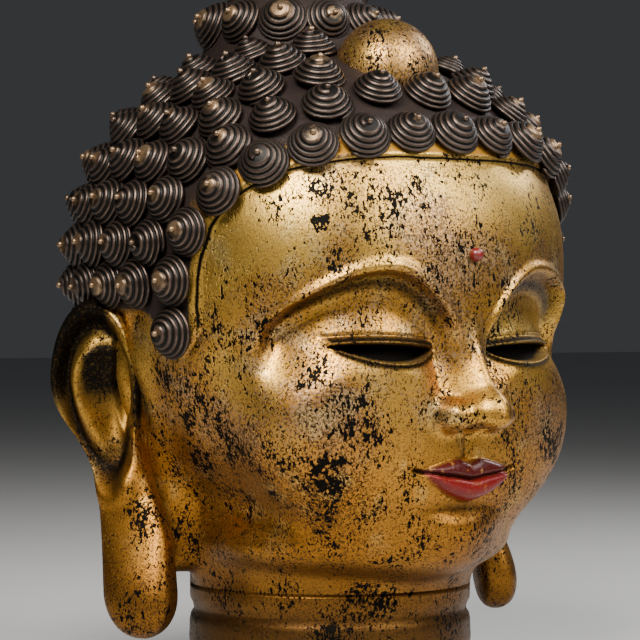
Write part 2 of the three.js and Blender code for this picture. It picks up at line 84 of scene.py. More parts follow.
# brow and eyes
BROW_LINE = Sizes(peak=2.75, height=12.5, inner=0.36, outer=0.2)
BROW_HOLLOW = Sizes(steps=((0.3, 0.16), (0.32, 0.7)), end=(0.9, 2.0), along=((0.35, 0.6), (4.7, 1.1)))
BROW_RIDGE = Sizes(hump=(0.12, (-0.13, 0.17)), along=((0.45, 0.5), (4.6, 1.1)))
EYE = Sizes(inner=1.0, long=2.95, height=10.28, tilt=0.1)
LIDS = {"upper": (0.1, 0.8), "lower": (-0.42, 0.75)}
EYEBALL = Sizes(turn=20.0, middle=(2.55, 5.15, 10.62), radii=(1.82, 1.02, 1.12), fillet=0.28)
SLIT = Sizes(deep=0.34, edge=(-0.027, 0.09), along=((0.9, 0.25), (3.9, 0.3)))
LID_RIMS = Sizes(upper=(0.1, (0.06, 0.07)), lower=(0.09, (-0.06, 0.07)), fold=(-0.06, (0.24, 0.05)))

# nose: the pairs of its sides are the value at the root and what is added on the way to the tip
NOSE = Sizes(top=12.4, tall=4.1, cap=12.9, cap_soft=0.8, back=4.9, fillet=0.3)
NOSE_RIDGE = Sizes(root=6.65, straight=0.35, swell=1.6, power=1.35)
NOSE_SIDES = {"base": (6.05, 0.45), "half": (0.5, 0.55), "crest": (0.1, 0.14)}
NOSE_UNDERSIDE = Sizes(height=8.02, lift=0.1, start=6.9, soft=0.25)
NOSE_EGGS = (((0, 7.88, 8.5), (0.66, 0.7, 0.56), 0.35), ((0.78, 7.2, 8.42), (0.5, 0.75, 0.47), 0.16))
NOSTRIL = Sizes(middle=(0.42, 7.5, 7.98), radii=(0.2, 0.34, 0.22), soft=0.1)

# mouth
MOUTH = Sizes(height=6.66, half=1.6, corner=0.17, dip=(-0.07, (0, 0.34)), thinnest=0.02)
UPPER_LIP = Sizes(tall=0.6, half=1.66, power=1.5, bow=(-0.13, (0, 0.24)), swell=0.26, round=2.2)
LOWER_LIP = Sizes(tall=0.66, half=1.5, power=0.75, swell=0.34, round=2.4, fullest=0.9, flat=1.3)
LIP_ENDS = Sizes(swell=(1.45, 0.2), thin=(0, 0.3))
LIP_CREASE = Sizes(hump=(0.2, (0, 0.055)), end=(1.75, 0.2))
LIP_GROOVE = Sizes(hump=(0.12, (0, 0.17)), tall=((7.05, 0.2), (7.7, 0.3)))
LIP_UNDER = Sizes(hump=(0.22, (0, 1.25)), tall=(5.72, 0.3))

# ground of the hair, its lower edge and its arch over the face, in degrees round by height
GROUND = Sizes(proud=0.2, fillet=0.3)
HAIR_EDGE = Sizes(high=0.15, edge=(-0.15, 0.3))
HAIR_ARCH = Sizes(turn=66.5, foot=10.1, power=3.6, deep=5.9)
HAIR_FOOT = Sizes(ear=(115.0, -8.0), gap=0.5, drop=1.25, half=7.5)
FACE_FRONT = (1.5, 1.5)
EAR_HOLLOW = Sizes(deep=0.4, f=-0.9, z=8.7, tall=2.2, half=0.5, beyond=3.0)

# ears: (u, z) in the plane of the ear, u backwards
EAR_FOOT = 1.9
EAR_MIDDLE = 9.3
EAR_TOP = 11.75
EAR_ROOT = (6.35, -1.0)
EAR_FLARE = 32.0
EAR_THICK = 0.42
EAR_GRID = (200, 150)
EAR_FILLET = Sizes(reach=0.5, swell=0.16)
EAR_ROUND = 14
SHELL = Sizes(middle=0.95, half=1.45, front=-0.5, below=3.9, lean=0.55)
SHELL_TAPER = Sizes(back=(5.2, 4.1), power=1.7, front=(7.6, -3.2))
LOBE = Sizes(middle=-0.1, back=0.97, front=-1.15, round=1.35, tall=6.5, out=0.4, forward=1.3)
LOBE_SWELL = Sizes(share=0.5, until=0.5)
EAR_DISH = (-0.5, (0.35, 0.7), (8.3, 1.7))
EAR_BOWL = (-0.42, (0.2, 0.5), (8.9, 1.4))
EAR_LIP = (0.22, (0.25, 0.5), (6.55, 0.4))
EAR_FLAP = (0.2, (-0.45, 0.25), (7.7, 0.6))
EAR_RIM = (0.26, (0.13, 0.2))
EAR_GROOVE = Sizes(hump=(-0.4, (0.5, 0.2)), behind=(-0.1, 0.5))
EAR_RIDGE = Sizes(hump=(0.24, (0.95, 0.17)), behind=(0.55, 0.5), below=(10.6, -0.8))
EAR_SHELL = (5.3, 1.0)
EAR_LOBE = (0.12, (EAR_FOOT + 1.3, 1.3))

# places of the curls: gaps and rows in fingers, ends of the rows in degrees round
CURL_CLEAR = 0.3
CURL_PITCH = 1.42
ROW_STEP = 1.13
CROWDED = 0.72
TEMPLE = 73.0
SIDEBURN = 10.75
FRONT_ROW = 16.4
ARCH_POWER = 2.6
TOP_ROW = -7.06
ROW_COUNT = 11
SKIN_PER_RADIAN = 6.6
KNOT_ROWS = (-10.0, 22.0, 54.0)
KNOT_PITCH = 0.97
KNOT_CLEAR = 0.2
MIDDLE_PLANE = 0.1
SETTLE = Sizes(rounds=14, reach=1.2, give=0.22, jewel=0.35)
EAR_TURN = 100.0
EAR_ARC = 118.0
EAR_ARCH = 11.9

# one curl, its tip ball and how much chance changes each copy
CURL = Sizes(radius=0.76, height=0.72, turns=5, around=22, steps=5, root=-0.3)
CURL_TAPER = Sizes(share=0.86, power=1.65, inset=0.06)
CURL_CLIMB = Sizes(foot=-0.12, rise=1.12, power=0.95)
CURL_RIB = Sizes(swell=0.095, thinner=0.4, out=0.8, up=0.6)
TIP_BALL = Sizes(radius=0.1, rows=4, around=8, tilt=(-1.2, 1.3), sink=0.01)
CHANCE = Sizes(seed=11, tilt=0.05, size=(0.95, 1.05))
CROWN_ABOVE = 17.6
FACE_BEFORE = -1.2

# meshes: counts for each stretch and the ends of the stretches
SKIN_TURNS = ((96, 30, 18, 12), (0.0, 60.0, 78.0, 112.0, 180.0))
SKIN_FAN = ((56, 20), (0.0, 0.5, math.pi / 2))
SKIN_LEVELS = ((20, 18, 28, 54, 34, 38, 40, 6), (0.0, CHIN, 5.4, 6.9, 7.65, 9.65, 10.75, 12.6, EQUATOR))
CHIN_TIP = Sizes(most=-0.36, tall=4.5)
JEWEL_GRID = (60, 96)
BEAD_GRID = (30, 48)

# black spots: size in metres, detail, roughness, stretch, shift, weight of the clusters and ends of the step
BARE_SPOTS = (
    (0.0023, 3.0, 0.62, 1.9, 5.0, 0.45, 0.833, 0.853),
    (0.0042, 4.0, 0.6, 1.6, 9.0, 0.5, 0.96, 0.975),
    (0.0012, 2.0, 0.6, 1.5, 13.0, 0.3, 0.755, 0.785),
)

# middle and reach, in fingers, of the larger bare patches
BARE_PATCHES = (
    ((-4.45, 6.0, 13.86), 0.8), ((-3.55, 6.55, 14.1), 0.6), ((-3.3, 6.7, 13.4), 0.5),
    ((-4.1, 5.6, 6.9), 1.7), ((-4.6, 5.4, 8.6), 0.9), ((3.0, 6.7, 14.6), 0.8),
    ((-0.75, 3.9, 19.5), 0.85),
)

# of the places where the gold is thin and stippled
THIN_GOLD = (
    ((-4.1, 5.6, 6.9), 3.2), ((-6.1, 4.0, 8.2), 2.6), ((-2.3, 7.0, 9.2), 2.2),
    ((-1.2, 7.1, 14.2), 2.6), ((3.6, 6.2, 7.5), 3.0), ((0.0, 3.25, 18.4), 3.0),
)

# and of the places where black spots crowd
SPOTTED = (
    ((-3.4, 6.6, 13.7), 1.6), ((-4.1, 5.6, 6.9), 2.6), ((-6.1, 4.0, 7.6), 2.4),
    ((-6.7, 2.2, 9.4), 2.4), ((3.6, 6.2, 7.5), 2.4), ((-7.4, -0.2, 7.9), 1.6),
)

# lamps: name, degrees round and up, distance and side in metres, watts and colour; sky, floor and camera
LAMPS = (
    ("key", -54.0, 42.0, 1.15, 0.5, 28.0, (1.0, 0.97, 0.91)),
    ("front", 14.0, 38.0, 1.3, 0.9, 28.0, (1.0, 0.98, 0.95)),
    ("rim", 85.0, 35.0, 1.5, 0.5, 10.0, (0.95, 0.96, 1.0)),
)
LAMP_AIM = 0.24
SKY = Sizes(colour=(0.50, 0.52, 0.56, 1.0), strength=0.08)
FLOOR = Sizes(reach=12.0, drop=0.0005, roughness=0.7)
SENSOR = 36.0


# soft shapes


def unit(t):
    """A value kept between 0 and 1."""
    return np.clip(t, 0.0, 1.0)


def ease(t):
    """Smooth step: 0 below 0, 1 above 1, level at both ends."""
    t = unit(t)
    return t * t * (3.0 - 2.0 * t)


def bell(t):
    """Rounded hump of height 1 at t = 0, about 1 wide on each side."""
    return np.exp(-t * t)


def hump(v, spot):
    """Rounded hump of height 1 by its middle and half width."""
    return bell((v - spot[0]) / spot[1])


def rise(v, edge):
    """Soft step from 0 to 1 by where it starts and how wide it is; it falls where the width is below zero."""
    return ease((v - edge[0]) / edge[1])


def band(v, start, end):
    """1 between two soft edges and 0 beyond them."""
    return rise(v, start) * (1.0 - rise(v, end))


def ridge(v, row):
    """Hump along a line; the row gives its height and the hump."""
    return row[0] * hump(v, row[1])


def knob(u, v, row):
    """Hump round a point; the row gives its height and a hump for each of the two ways."""
    return row[0] * hump(u, row[1]) * hump(v, row[2])


def join(a, b, k):
    """Union of two distances with a fillet of size k."""
    h = np.maximum(k - np.abs(a - b), 0.0) / k
    return np.minimum(a, b) - h * h * k / 4.0


def cut(a, b, k):
    """What two shapes share, with its edge rounded by k."""
    return -join(-a, -b, k)


def egg(x, f, z, centre, radii):
    """Distance to an egg: its level set value over the length of the slope, true near the skin."""
    p = (x - centre[0]) / radii[0], (f - centre[1]) / radii[1], (z - centre[2]) / radii[2]
    k0 = np.sqrt(p[0] ** 2 + p[1] ** 2 + p[2] ** 2)
    k1 = np.sqrt((p[0] / radii[0]) ** 2 + (p[1] / radii[1]) ** 2 + (p[2] / radii[2]) ** 2)
    return k0 * (k0 - 1.0) / np.maximum(k1, 1e-9)


def limb(x, f, z, a, b, ra, rb):
    """Distance to a limb that tapers from radius ra at point a to rb at point b."""
    d = [b[i] - a[i] for i in range(3)]
    p = x - a[0], f - a[1], z - a[2]
    t = unit((p[0] * d[0] + p[1] * d[1] + p[2] * d[2]) / sum(v * v for v in d))
    away = np.sqrt((p[0] - t * d[0]) ** 2 + (p[1] - t * d[1]) ** 2 + (p[2] - t * d[2]) ** 2)
    return away - (ra + (rb - ra) * t)


# the head


def skull(x, f, z):
    """Distance to the skull, an egg whose level slices are a little squarer than an ellipse."""
    square = SKULL.square
    deep = np.where(f < 0, SKULL.back, SKULL.front)
    level = (np.abs(x / SKULL.side) ** square + np.abs(f / deep) ** square) ** (1.0 / square)
    out = np.hypot(level, (z - EQUATOR) / SKULL.up)
    reach = np.sqrt(x * x + f * f + (z - EQUATOR) ** 2)
    return reach * (1.0 - 1.0 / np.maximum(out, 1e-6))


def bulk(x, f, z):
    """Head without features: skull, eggs of the face, jaw and a neck with two carved rings, run together."""
    d = skull(x, f, z)
    for middle, radii, fillet in FACE_EGGS.values():
        d = join(d, egg(x, f, z, middle, radii), fillet)
    d = join(d, limb(x, f, z, JAW.top, JAW.foot, *JAW.radii), JAW.fillet)
    folds = sum(hump(z, (level, NECK_FOLDS.half)) for level in NECK_FOLDS.heights) * NECK_FOLDS.deep
    radius = NECK.radius + NECK.flare * bell(z / NECK.flare_tall) - folds
    neck = np.maximum(np.hypot(x, f - NECK.forward) - radius, z - NECK.top)
    return join(d, neck, NECK.fillet)


def brow_line(x):
    """Height of the brow: it falls from its peak as the square of the way, faster towards the nose."""
    fall = np.where(x > BROW_LINE.peak, BROW_LINE.outer, BROW_LINE.inner)
    return BROW_LINE.height - fall * (x - BROW_LINE.peak) ** 2


def lid(x, name):
    """Height of the edge of a lid: the slanted line of the eye and a bow of its own."""
    bow, power = LIDS[name]
    span = (x - EYE.inner) / EYE.long
    return EYE.height + EYE.tilt * span + bow * unit(4.0 * span * (1.0 - span)) ** power


def mouth_line(x):
    """Height of the line between the lips, which rises to the corners and dips in the middle."""
    return MOUTH.height + MOUTH.corner * (x / MOUTH.half) ** 2 + ridge(x, MOUTH.dip)


def lip_top(x):
    """Height of the upper edge of the upper lip, with a notch in the middle."""
    share = 1.0 - unit(x / UPPER_LIP.half) ** UPPER_LIP.power
    return mouth_line(x) + UPPER_LIP.tall * share + ridge(x, UPPER_LIP.bow)


def lip_foot(x):
    """Height of the lower edge of the lower lip."""
    share = (1.0 - unit(x / LOWER_LIP.half) ** 2) ** LOWER_LIP.power
    return mouth_line(x) - LOWER_LIP.tall * share


def brow(x, z):
    """Hollow under the brow line, less the ridge along it."""
    below = brow_line(x) - z
    hollow = sum(deep * ease(below / wide) for deep, wide in BROW_HOLLOW.steps)
    hollow = hollow * (1.0 - rise(below, BROW_HOLLOW.end)) * band(x, *BROW_HOLLOW.along)
    return hollow - ridge(below, BROW_RIDGE.hump) * band(x, *BROW_RIDGE.along)


def eyeball(x, f, z):
    """Egg of the eye under its lids, turned outwards to follow the face."""
    turn = math.radians(EYEBALL.turn)
    across, forward, height = EYEBALL.middle
    ex, ef = x - across, f - forward
    u = ex * math.cos(turn) - ef * math.sin(turn)
    v = ex * math.sin(turn) + ef * math.cos(turn)
    return egg(u, v, z, (0, 0, height), EYEBALL.radii)


def slit(x, z):
    """Opening between the lids, less the rolled rims of the lids."""
    top, foot = lid(x, "upper"), lid(x, "lower")
    span = (x > EYE.inner) & (x < EYE.inner + EYE.long)
    inside = np.where(span, rise(np.minimum(top - z, z - foot), SLIT.edge), 0.0)
    rims = ridge(z - top, LID_RIMS.upper) + ridge(z - foot, LID_RIMS.lower) + ridge(z - top, LID_RIMS.fold)
    return SLIT.deep * inside - rims * band(x, *SLIT.along)


def nose(x, f, z):
    """A ridge whose sides slope away on both sides of a rounded crest, with a tip, two wings and nostrils."""
    t = unit((NOSE.top - z) / NOSE.tall)
    front = NOSE_RIDGE.root + NOSE_RIDGE.straight * t + NOSE_RIDGE.swell * t ** NOSE_RIDGE.power
    base, half, crest = (at_root + added * t for at_root, added in NOSE_SIDES.values())
    slope = (front - base) / half
    d = (f - front + slope * (np.hypot(x, crest) - crest)) / np.hypot(1.0, slope)
    under = NOSE_UNDERSIDE.height + NOSE_UNDERSIDE.lift * (f - NOSE_UNDERSIDE.start)
    d = cut(d, under - z, NOSE_UNDERSIDE.soft)
    d = cut(d, z - NOSE.cap, NOSE.cap_soft)
    d = np.maximum(d, NOSE.back - f)
    for middle, radii, fillet in NOSE_EGGS:
        d = join(d, egg(x, f, z, middle, radii), fillet)
    return cut(d, -egg(x, f, z, NOSTRIL.middle, NOSTRIL.radii), NOSTRIL.soft)


def mouth(x, z):
    """Crease between the lips, less their swell, with the groove over them and the hollow under."""
    middle, top, foot = mouth_line(x), lip_top(x), lip_foot(x)
    up = (z - middle) / np.maximum(top - middle, MOUTH.thinnest)
    down = (middle - z) / np.maximum(middle - foot, MOUTH.thinnest)
    arch = np.sqrt(1.0 - unit(up) ** UPPER_LIP.round)
    upper = np.where((up > 0) & (up < 1), UPPER_LIP.swell * arch, 0.0) * rise(top - middle, LIP_ENDS.thin)
    off = np.abs(2.0 * unit(down) - LOWER_LIP.fullest) ** LOWER_LIP.round
    full = np.sqrt(unit(1.0 - off / LOWER_LIP.flat))
    lower = np.where((down > 0) & (down < 1), LOWER_LIP.swell * full, 0.0)
    lower = lower * rise(middle - foot, LIP_ENDS.thin)
    crease = ridge(z - middle, LIP_CREASE.hump) * (1.0 - rise(x, LIP_CREASE.end))
    groove = ridge(x, LIP_GROOVE.hump) * band(z, *LIP_GROOVE.tall)
    under = ridge(x, LIP_UNDER.hump) * hump(z, LIP_UNDER.tall)
    return crease - (upper + lower) * (1.0 - rise(x, LIP_ENDS.swell)) + groove + under


def over_hair_foot(x, f, z):
    """Height over the lower edge of the hair, which drops in front of the ear and passes over it."""
    around = np.degrees(np.arctan2(x, f))
    low = NAPE + (EAR_ARCH - HAIR_FOOT.gap - NAPE) * rise(around, HAIR_FOOT.ear)
    return z - low + HAIR_FOOT.drop * hump(around, (TEMPLE, HAIR_FOOT.half))


def hair_depth(x, f, z):
    """How far a point lies inside the hair: the lesser of the height over its foot and the depth behind its
    arch over the face, a rounded square of degrees round by height."""
    around = np.degrees(np.arctan2(x, f)) / HAIR_ARCH.turn
    above = np.maximum(z - HAIR_ARCH.foot, 0.0) / (HAIRLINE - HAIR_ARCH.foot)
    power = HAIR_ARCH.power
    arch = (around ** power + above ** power) ** (1.0 / power) - 1.0
    return np.minimum(arch * HAIR_ARCH.deep, over_hair_foot(x, f, z))


def flesh(px, f, z):
    """Bare head with its face, below zero inside."""
    x = np.abs(px)
    front = rise(f, FACE_FRONT)
    d = bulk(x, f, z) + front * brow(x, z)
    d = join(d, eyeball(x, f, z), EYEBALL.fillet)
    d = join(d, nose(x, f, z), NOSE.fillet)
    return d + front * (mouth(x, z) + slit(x, z))


def casting(px, f, z):
    """The head with its crown knot, the raised ground of the hair and a hollow in front of each ear."""
    x = np.abs(px)
    d = join(flesh(px, f, z), egg(x, f, z, *KNOT), KNOT_FILLET)
    away = np.hypot(f - EAR_HOLLOW.f, (z - EAR_HOLLOW.z) / EAR_HOLLOW.tall) / EAR_HOLLOW.half
    d = d + EAR_HOLLOW.deep * bell(away) * (x > EAR_HOLLOW.beyond)
    return d - HAIR_EDGE.high * rise(hair_depth(x, f, z), HAIR_EDGE.edge)


def ground(px, f, z):
    """The ground that the curls stand on."""
    return join(bulk(np.abs(px), f, z) - GROUND.proud, egg(px, f, z, *KNOT), GROUND.fillet)


def aim(turn, tip):
    """Direction of a ray by its turn round from the nose and its tip above level, in radians."""
    turn, tip = np.broadcast_arrays(turn, tip)
    return np.stack([np.sin(turn) * np.cos(tip), np.cos(turn) * np.cos(tip), np.sin(tip)], -1)


def at(shape, p):
    """A shape's distance at an array of points."""
    return shape(p[..., 0], p[..., 1], p[..., 2])


def surface(origin, way, shape, start=2.0, rounds=40, share=0.7):
    """Where rays from inside a shape come out: each steps on by a share of its distance to the skin."""
    origin, way = np.broadcast_arrays(np.asarray(origin, float), way)
    t = np.full(way.shape[:-1], start)
    for _ in range(rounds):
        p = origin + t[..., None] * way
        t = t - share * at(shape, p)
    return origin + t[..., None] * way


def outward(p, shape, step=0.08):
    """Unit slope of a shape's distance at points, by central differences."""
    slope = []
    for axis in range(3):
        shift = np.zeros(3)
        shift[axis] = step
        slope.append(at(shape, p + shift) - at(shape, p - shift))
    n = np.stack(slope, -1)
    return n / np.linalg.norm(n, axis=-1, keepdims=True)


# meshes


def grid_faces(rows, around):
    """Quads of a grid that closes on itself in its second direction."""
    r, c = np.meshgrid(np.arange(rows - 1), np.arange(around), indexing="ij")
    a, b = r * around + c, r * around + (c + 1) % around
    return np.stack([a, b, b + around, a + around], -1).reshape(-1, 4)


def closed_grid(rows, foot, top):
    """Points and faces of a grid of rings whose two ends are drawn together to a point each."""
    count, around = rows.shape[:2]
    points = np.concatenate([rows.reshape(-1, 3), [foot], [top]])
    c = np.arange(around)
    following = (c + 1) % around
    low = np.stack([np.full(around, count * around), following, c], -1)
    end = (count - 1) * around
    high = np.stack([np.full(around, count * around + 1), end + c, end + following], -1)
    return points, grid_faces(count, around), np.concatenate([low, high])


def build(name, points, quads, triangles, masks=None):
    """A smooth mesh object from points in fingers; masks are values for each point, kept as attributes."""
    metres = np.stack([points[:, 0], -points[:, 1], points[:, 2]], -1) * FINGER
    mesh = bpy.data.meshes.new(name)
    loops = np.concatenate([quads.ravel(), triangles.ravel()]).astype(np.int32)
    starts = np.concatenate([np.arange(len(quads)) * 4, len(quads) * 4 + np.arange(len(triangles)) * 3])
    mesh.vertices.add(len(metres))
    mesh.vertices.foreach_set("co", metres.astype(np.float32).ravel())
    mesh.loops.add(len(loops))
    mesh.loops.foreach_set("vertex_index", loops)
    mesh.polygons.add(len(starts))
    mesh.polygons.foreach_set("loop_start", starts.astype(np.int32))
    mesh.update(calc_edges=True)
    for key, values in (masks or {}).items():
        layer = mesh.attributes.new(key, "FLOAT", "POINT")
        layer.data.foreach_set("value", np.asarray(values, np.float32))
    mesh.polygons.foreach_set("use_smooth", np.full(len(mesh.polygons), True))
    if mesh.validate():
        raise RuntimeError(name + " has faces that were not valid")
    piece = bpy.data.objects.new(name, mesh)
    bpy.context.scene.collection.objects.link(piece)
    return piece


def finish_piece(piece, material, solid):
    """Gives a piece its material, rides it on the one body and lets it stand for a solid of the frame."""
    piece.data.materials.append(bpy.data.materials[material])
    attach(piece, "root")
    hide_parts(solid)


# skin


def spread(counts, ends):
    """Values that run evenly between the given ends, with a count for each stretch."""
    parts = [np.linspace(a, b, n, endpoint=False) for a, b, n in zip(ends, ends[1:], counts)]
    return np.concatenate(parts)


def skin_grid():
    """Rings of the head: level rays, tipped down under the chin and fanned out over skull and knot."""
    half = spread(*SKIN_TURNS)
    turns = np.sort(np.radians(np.concatenate([half, 360.0 - half[:0:-1], [180.0]])))
    fan = spread(*SKIN_FAN)
    height = np.concatenate([spread(*SKIN_LEVELS), np.full(len(fan), EQUATOR)])
    tip = CHIN_TIP.most * np.sin(np.pi * unit((height - CHIN) / CHIN_TIP.tall))
    tip[-len(fan):] = fan
    origin = np.zeros((len(height), 1, 3))
    origin[:, 0, 2] = height
    rows = surface(origin, aim(turns[None, :], tip[:, None]), casting)
    top = surface(np.array([[0.0, 0.0, EQUATOR]]), aim(np.zeros(1), np.full(1, math.pi / 2)), casting)[0]
    return rows, (0.0, 0.0, 0.0), top


def skin_masks(p):
    """What is over the foot of the hair, lip or eye slit, and the painted shade of the hollows, from 0 to 1,
    at points of the skin.
    """
    x, f, z = np.abs(p[:, 0]), p[:, 1], p[:, 2]
    front = rise(f, (3.0, 0.5))
    lips = (1.0 - rise(x, (1.5, 0.15))) * front
    edge = (-0.025, 0.05)
    upper = rise(z - mouth_line(x), edge) * rise(lip_top(x) - z, edge)
    lower = rise(mouth_line(x) - z, edge) * rise(z - lip_foot(x), edge)
    span = (x > 0.95) & (x < 4.0)
    opening = np.minimum(lid(x, "upper") - z, z - lid(x, "lower"))
    # painted shade: under the brow, round the eye slit, by the nose wings, under the lower lip and in the
    # mouth crease
    painted_shade = np.maximum.reduce([
        ridge(brow_line(x) - z, (0.9, (0.35, 0.3))) * band(x, (0.6, 0.5), (4.6, 0.8)),
        hump(opening, (-0.12, 0.12)) * span,
        knob(x, z, (0.8, (1.3, 0.08), (8.45, 0.4))) + knob(x, z, (0.7, (0, 1.2), (5.72, 0.2))),
        hump(z - mouth_line(x), (0, 0.07)) * (1.0 - rise(x, (1.7, 0.2))),
    ])
    return {
        "over_foot": rise(over_hair_foot(x, f, z), (-0.05, 0.1)),
        "upper_lip": upper * lips,
        "lower_lip": lower * lips,
        "eye": np.where(span, rise(opening, (-0.03, 0.06)), 0.0) * front,
        "painted_shade": unit(painted_shade) * front,
    }


# ears


def ear_reach(z):
    """How far the ear reaches behind and in front of its root line: half an egg, drawn in to a long lobe."""
    half = SHELL.half * np.sqrt(unit(1.0 - ((z - EAR_MIDDLE) / (EAR_TOP - EAR_MIDDLE)) ** 2))
    foot = np.sqrt(1.0 - unit((EAR_FOOT - z) / LOBE.round + 1.0) ** 2)
    widest = SHELL.middle + SHELL.half
    back = LOBE.back + (widest - LOBE.back) * rise(z, SHELL_TAPER.back) ** SHELL_TAPER.power
    front = SHELL.front + (LOBE.front - SHELL.front) * rise(z, SHELL_TAPER.front)
    back = np.where(z > EAR_MIDDLE, SHELL.middle + half, back)
    front = np.where(z > EAR_MIDDLE, SHELL.middle - half, front)
    return tuple(LOBE.middle + (edge - LOBE.middle) * foot for edge in (back, front))


def ear_inset(u, z):
    """Distance in from the outline of the shell of the ear."""
    tall = np.where(z > EAR_MIDDLE, EAR_TOP - EAR_MIDDLE, SHELL.below)
    centre = SHELL.middle - SHELL.lean * unit((EAR_MIDDLE - z) / SHELL.below)
    return (1.0 - np.hypot((u - centre) / SHELL.half, (z - EAR_MIDDLE) / tall)) * SHELL.half


def ear_relief(u, z):
    """Carving of the ear's outer face: rolled rim, groove, inner ridge, bowl with lip and flap, and lobe."""
    inset = ear_inset(u, z)
    groove = ridge(inset, EAR_GROOVE.hump) * rise(u, EAR_GROOVE.behind)
    inner = ridge(inset, EAR_RIDGE.hump) * rise(u, EAR_RIDGE.behind) * rise(z, EAR_RIDGE.below)
    shell = ridge(inset, EAR_RIM) + groove + inner + knob(u, z, EAR_BOWL)
    return rise(z, EAR_SHELL) * shell + knob(u, z, EAR_LIP) + knob(u, z, EAR_FLAP) + ridge(z, EAR_LOBE)


def ear_painted_shade(u, z):
    """Painted shade of the ear, from 0 to 1: the most of its groove, bowl, upper rim and flap."""
    inset = ear_inset(u, z)
    bowl = np.hypot((u - 0.65) / 0.75, (z - 9.4) / 1.3)
    dark = np.maximum.reduce([
        hump(inset, (0.5, 0.24)),
        (1.0 - rise(bowl, (0.7, 0.4))) * rise(z, (7.9, 1.3)),
        rise(z, (7.6, 1.6)) * (inset < 0.5) * rise(u, (0.2, 0.4)),
        hump(u, (-0.5, 0.3)) * rise(z, (7.4, 1.0)),
    ])
    return dark * rise(z, (5.6, 0.8))


def ear_points(side, u, n, z):
    """From the plane of the ear (u backwards, n outwards) to the head; the lobe hangs forwards."""
    turn = math.radians(EAR_FLARE)
    low = 1.0 - ease((z - EAR_FOOT) / LOBE.tall)
    across = EAR_ROOT[0] + LOBE.out * low + u * math.sin(turn) + n * math.cos(turn)
    along = EAR_ROOT[1] + LOBE.forward * low - u * math.cos(turn) + n * math.sin(turn)
    return np.stack(np.broadcast_arrays(side * across, along, z), -1)


def ear_rings(side):
    """Level slices of one ear, a plate with rounded edges and carving on its outer face, which swells into a
    fillet near the head. Returns the points and the painted shade of its hollows."""
    rows, around = EAR_GRID
    s = (np.arange(1, rows) / rows)[:, None]
    z = EAR_FOOT + (EAR_TOP - EAR_FOOT) * (0.5 - 0.5 * np.cos(np.pi * s))
    a = (np.arange(around) / around * 2.0 * np.pi)[None, :]
    z, a = np.broadcast_arrays(z, a)
    back, front = ear_reach(z)
    u = (back + front) / 2.0 + (back - front) / 2.0 * np.cos(a)
    t = (z - EAR_FOOT) / (EAR_TOP - EAR_FOOT)
    fade = np.sqrt(unit(1.0 - np.abs(2.0 * t - 1.0) ** EAR_ROUND))
    fade = fade * (1.0 + LOBE_SWELL.share * (1.0 - ease(t / LOBE_SWELL.until)))
    edge = np.sign(np.sin(a)) * np.sqrt(np.abs(np.sin(a)))
    outer = a < np.pi
    carved = np.where(outer, ear_relief(u, z), 0.0)
    n = edge * (EAR_THICK + carved) * fade + knob(u, z, EAR_DISH) * np.abs(edge)
    near = 1.0 - np.abs(at(flesh, ear_points(side, u, n, z))) / EAR_FILLET.reach
    swell = EAR_FILLET.swell * unit(near) ** 2
    return ear_points(side, u, n + swell * edge, z), np.where(outer, ear_painted_shade(u, z), 0.0)


def ear_mesh(side):
    """Points, quads, triangles and painted shade of one closed ear, with its faces outward on either side."""
    rings, hollow = ear_rings(side)
    if side > 0:
        rings, hollow = rings[:, ::-1], hollow[:, ::-1]
    foot = ear_points(side, LOBE.middle, 0.0, EAR_FOOT)
    top = ear_points(side, SHELL.middle, 0.0, EAR_TOP)
    return *closed_grid(rings, foot, top), np.append(hollow.ravel(), [0.0, 0.0])


# curls


def on_skull(around, below):
    """Point on the hair ground by degrees round and by distance below the widest level, along the skin."""
    around, below = np.broadcast_arrays(np.asarray(around, float), np.asarray(below, float))
    origin = np.zeros(around.shape + (3,))
    origin[..., 2] = EQUATOR - np.maximum(below, 0.0)
    return surface(origin, aim(np.radians(around), np.maximum(-below, 0.0) / SKIN_PER_RADIAN), ground)


def arch_path(t):
    """The front row runs in an arch, a rounded square of degrees round by height."""
    angle = t * np.pi / 2.0
    power = 2.0 / ARCH_POWER
    around = TEMPLE * np.sin(angle) ** power
    origin = np.zeros(t.shape + (3,))
    origin[:, 2] = SIDEBURN + (FRONT_ROW - SIDEBURN) * unit(np.cos(angle)) ** power
    return surface(origin, aim(np.radians(around), np.zeros_like(t)), ground)


def whole_steps(length):
    return math.floor(length / CURL_PITCH + 0.5)


def half_steps(length):
    return math.floor(length / CURL_PITCH) + 0.5


def spaced(path, start, end, steps, samples=161):
    """Points evenly spaced along a path, with both ends; steps gives their count from the length."""
    points = path(np.linspace(start, end, samples))
    length = np.concatenate([[0.0], np.cumsum(np.linalg.norm(np.diff(points, axis=0), axis=1))])
    count = steps(length[-1])
    goals = length[-1] * np.arange(math.floor(count) + 1) / count
    return np.stack([np.interp(goals, length, points[:, i]) for i in range(3)], -1)


def mirrored(points):
    """The points and their mirror images, with the ones in the middle plane once."""
    return np.concatenate([points, points[points[:, 0] > MIDDLE_PLANE] * (-1, 1, 1)])


def behind_arch(p):
    """Whether points lie behind the front row, an arch of degrees round by height."""
    around = np.degrees(np.arctan2(np.abs(p[:, 0]), p[:, 1])) / TEMPLE
    above = np.maximum(p[:, 2] - SIDEBURN, 0.0) / (FRONT_ROW - SIDEBURN)
    return around ** ARCH_POWER + above ** ARCH_POWER > 1.0


def skull_rows():
    """Rings round the skull, from the crown down, less what lies in front of the arch or by the ear."""
    rows = []
    for k in range(ROW_COUNT):
        below = TOP_ROW + k * ROW_STEP
        start = EAR_ARC if on_skull(EAR_TURN, below)[2] < EAR_ARCH else 0.0
        path = functools.partial(on_skull, below=below)
        rows.append(mirrored(spaced(path, start, 180.0, whole_steps if k % 2 else half_steps)))
    points = np.concatenate(rows)
    x, f, z = points.T
    clear = (egg(x, f, z, *KNOT) > CURL_CLEAR) & (egg(x, f, z, *JEWEL) > CURL_CLEAR)
    return points[clear & behind_arch(points)]


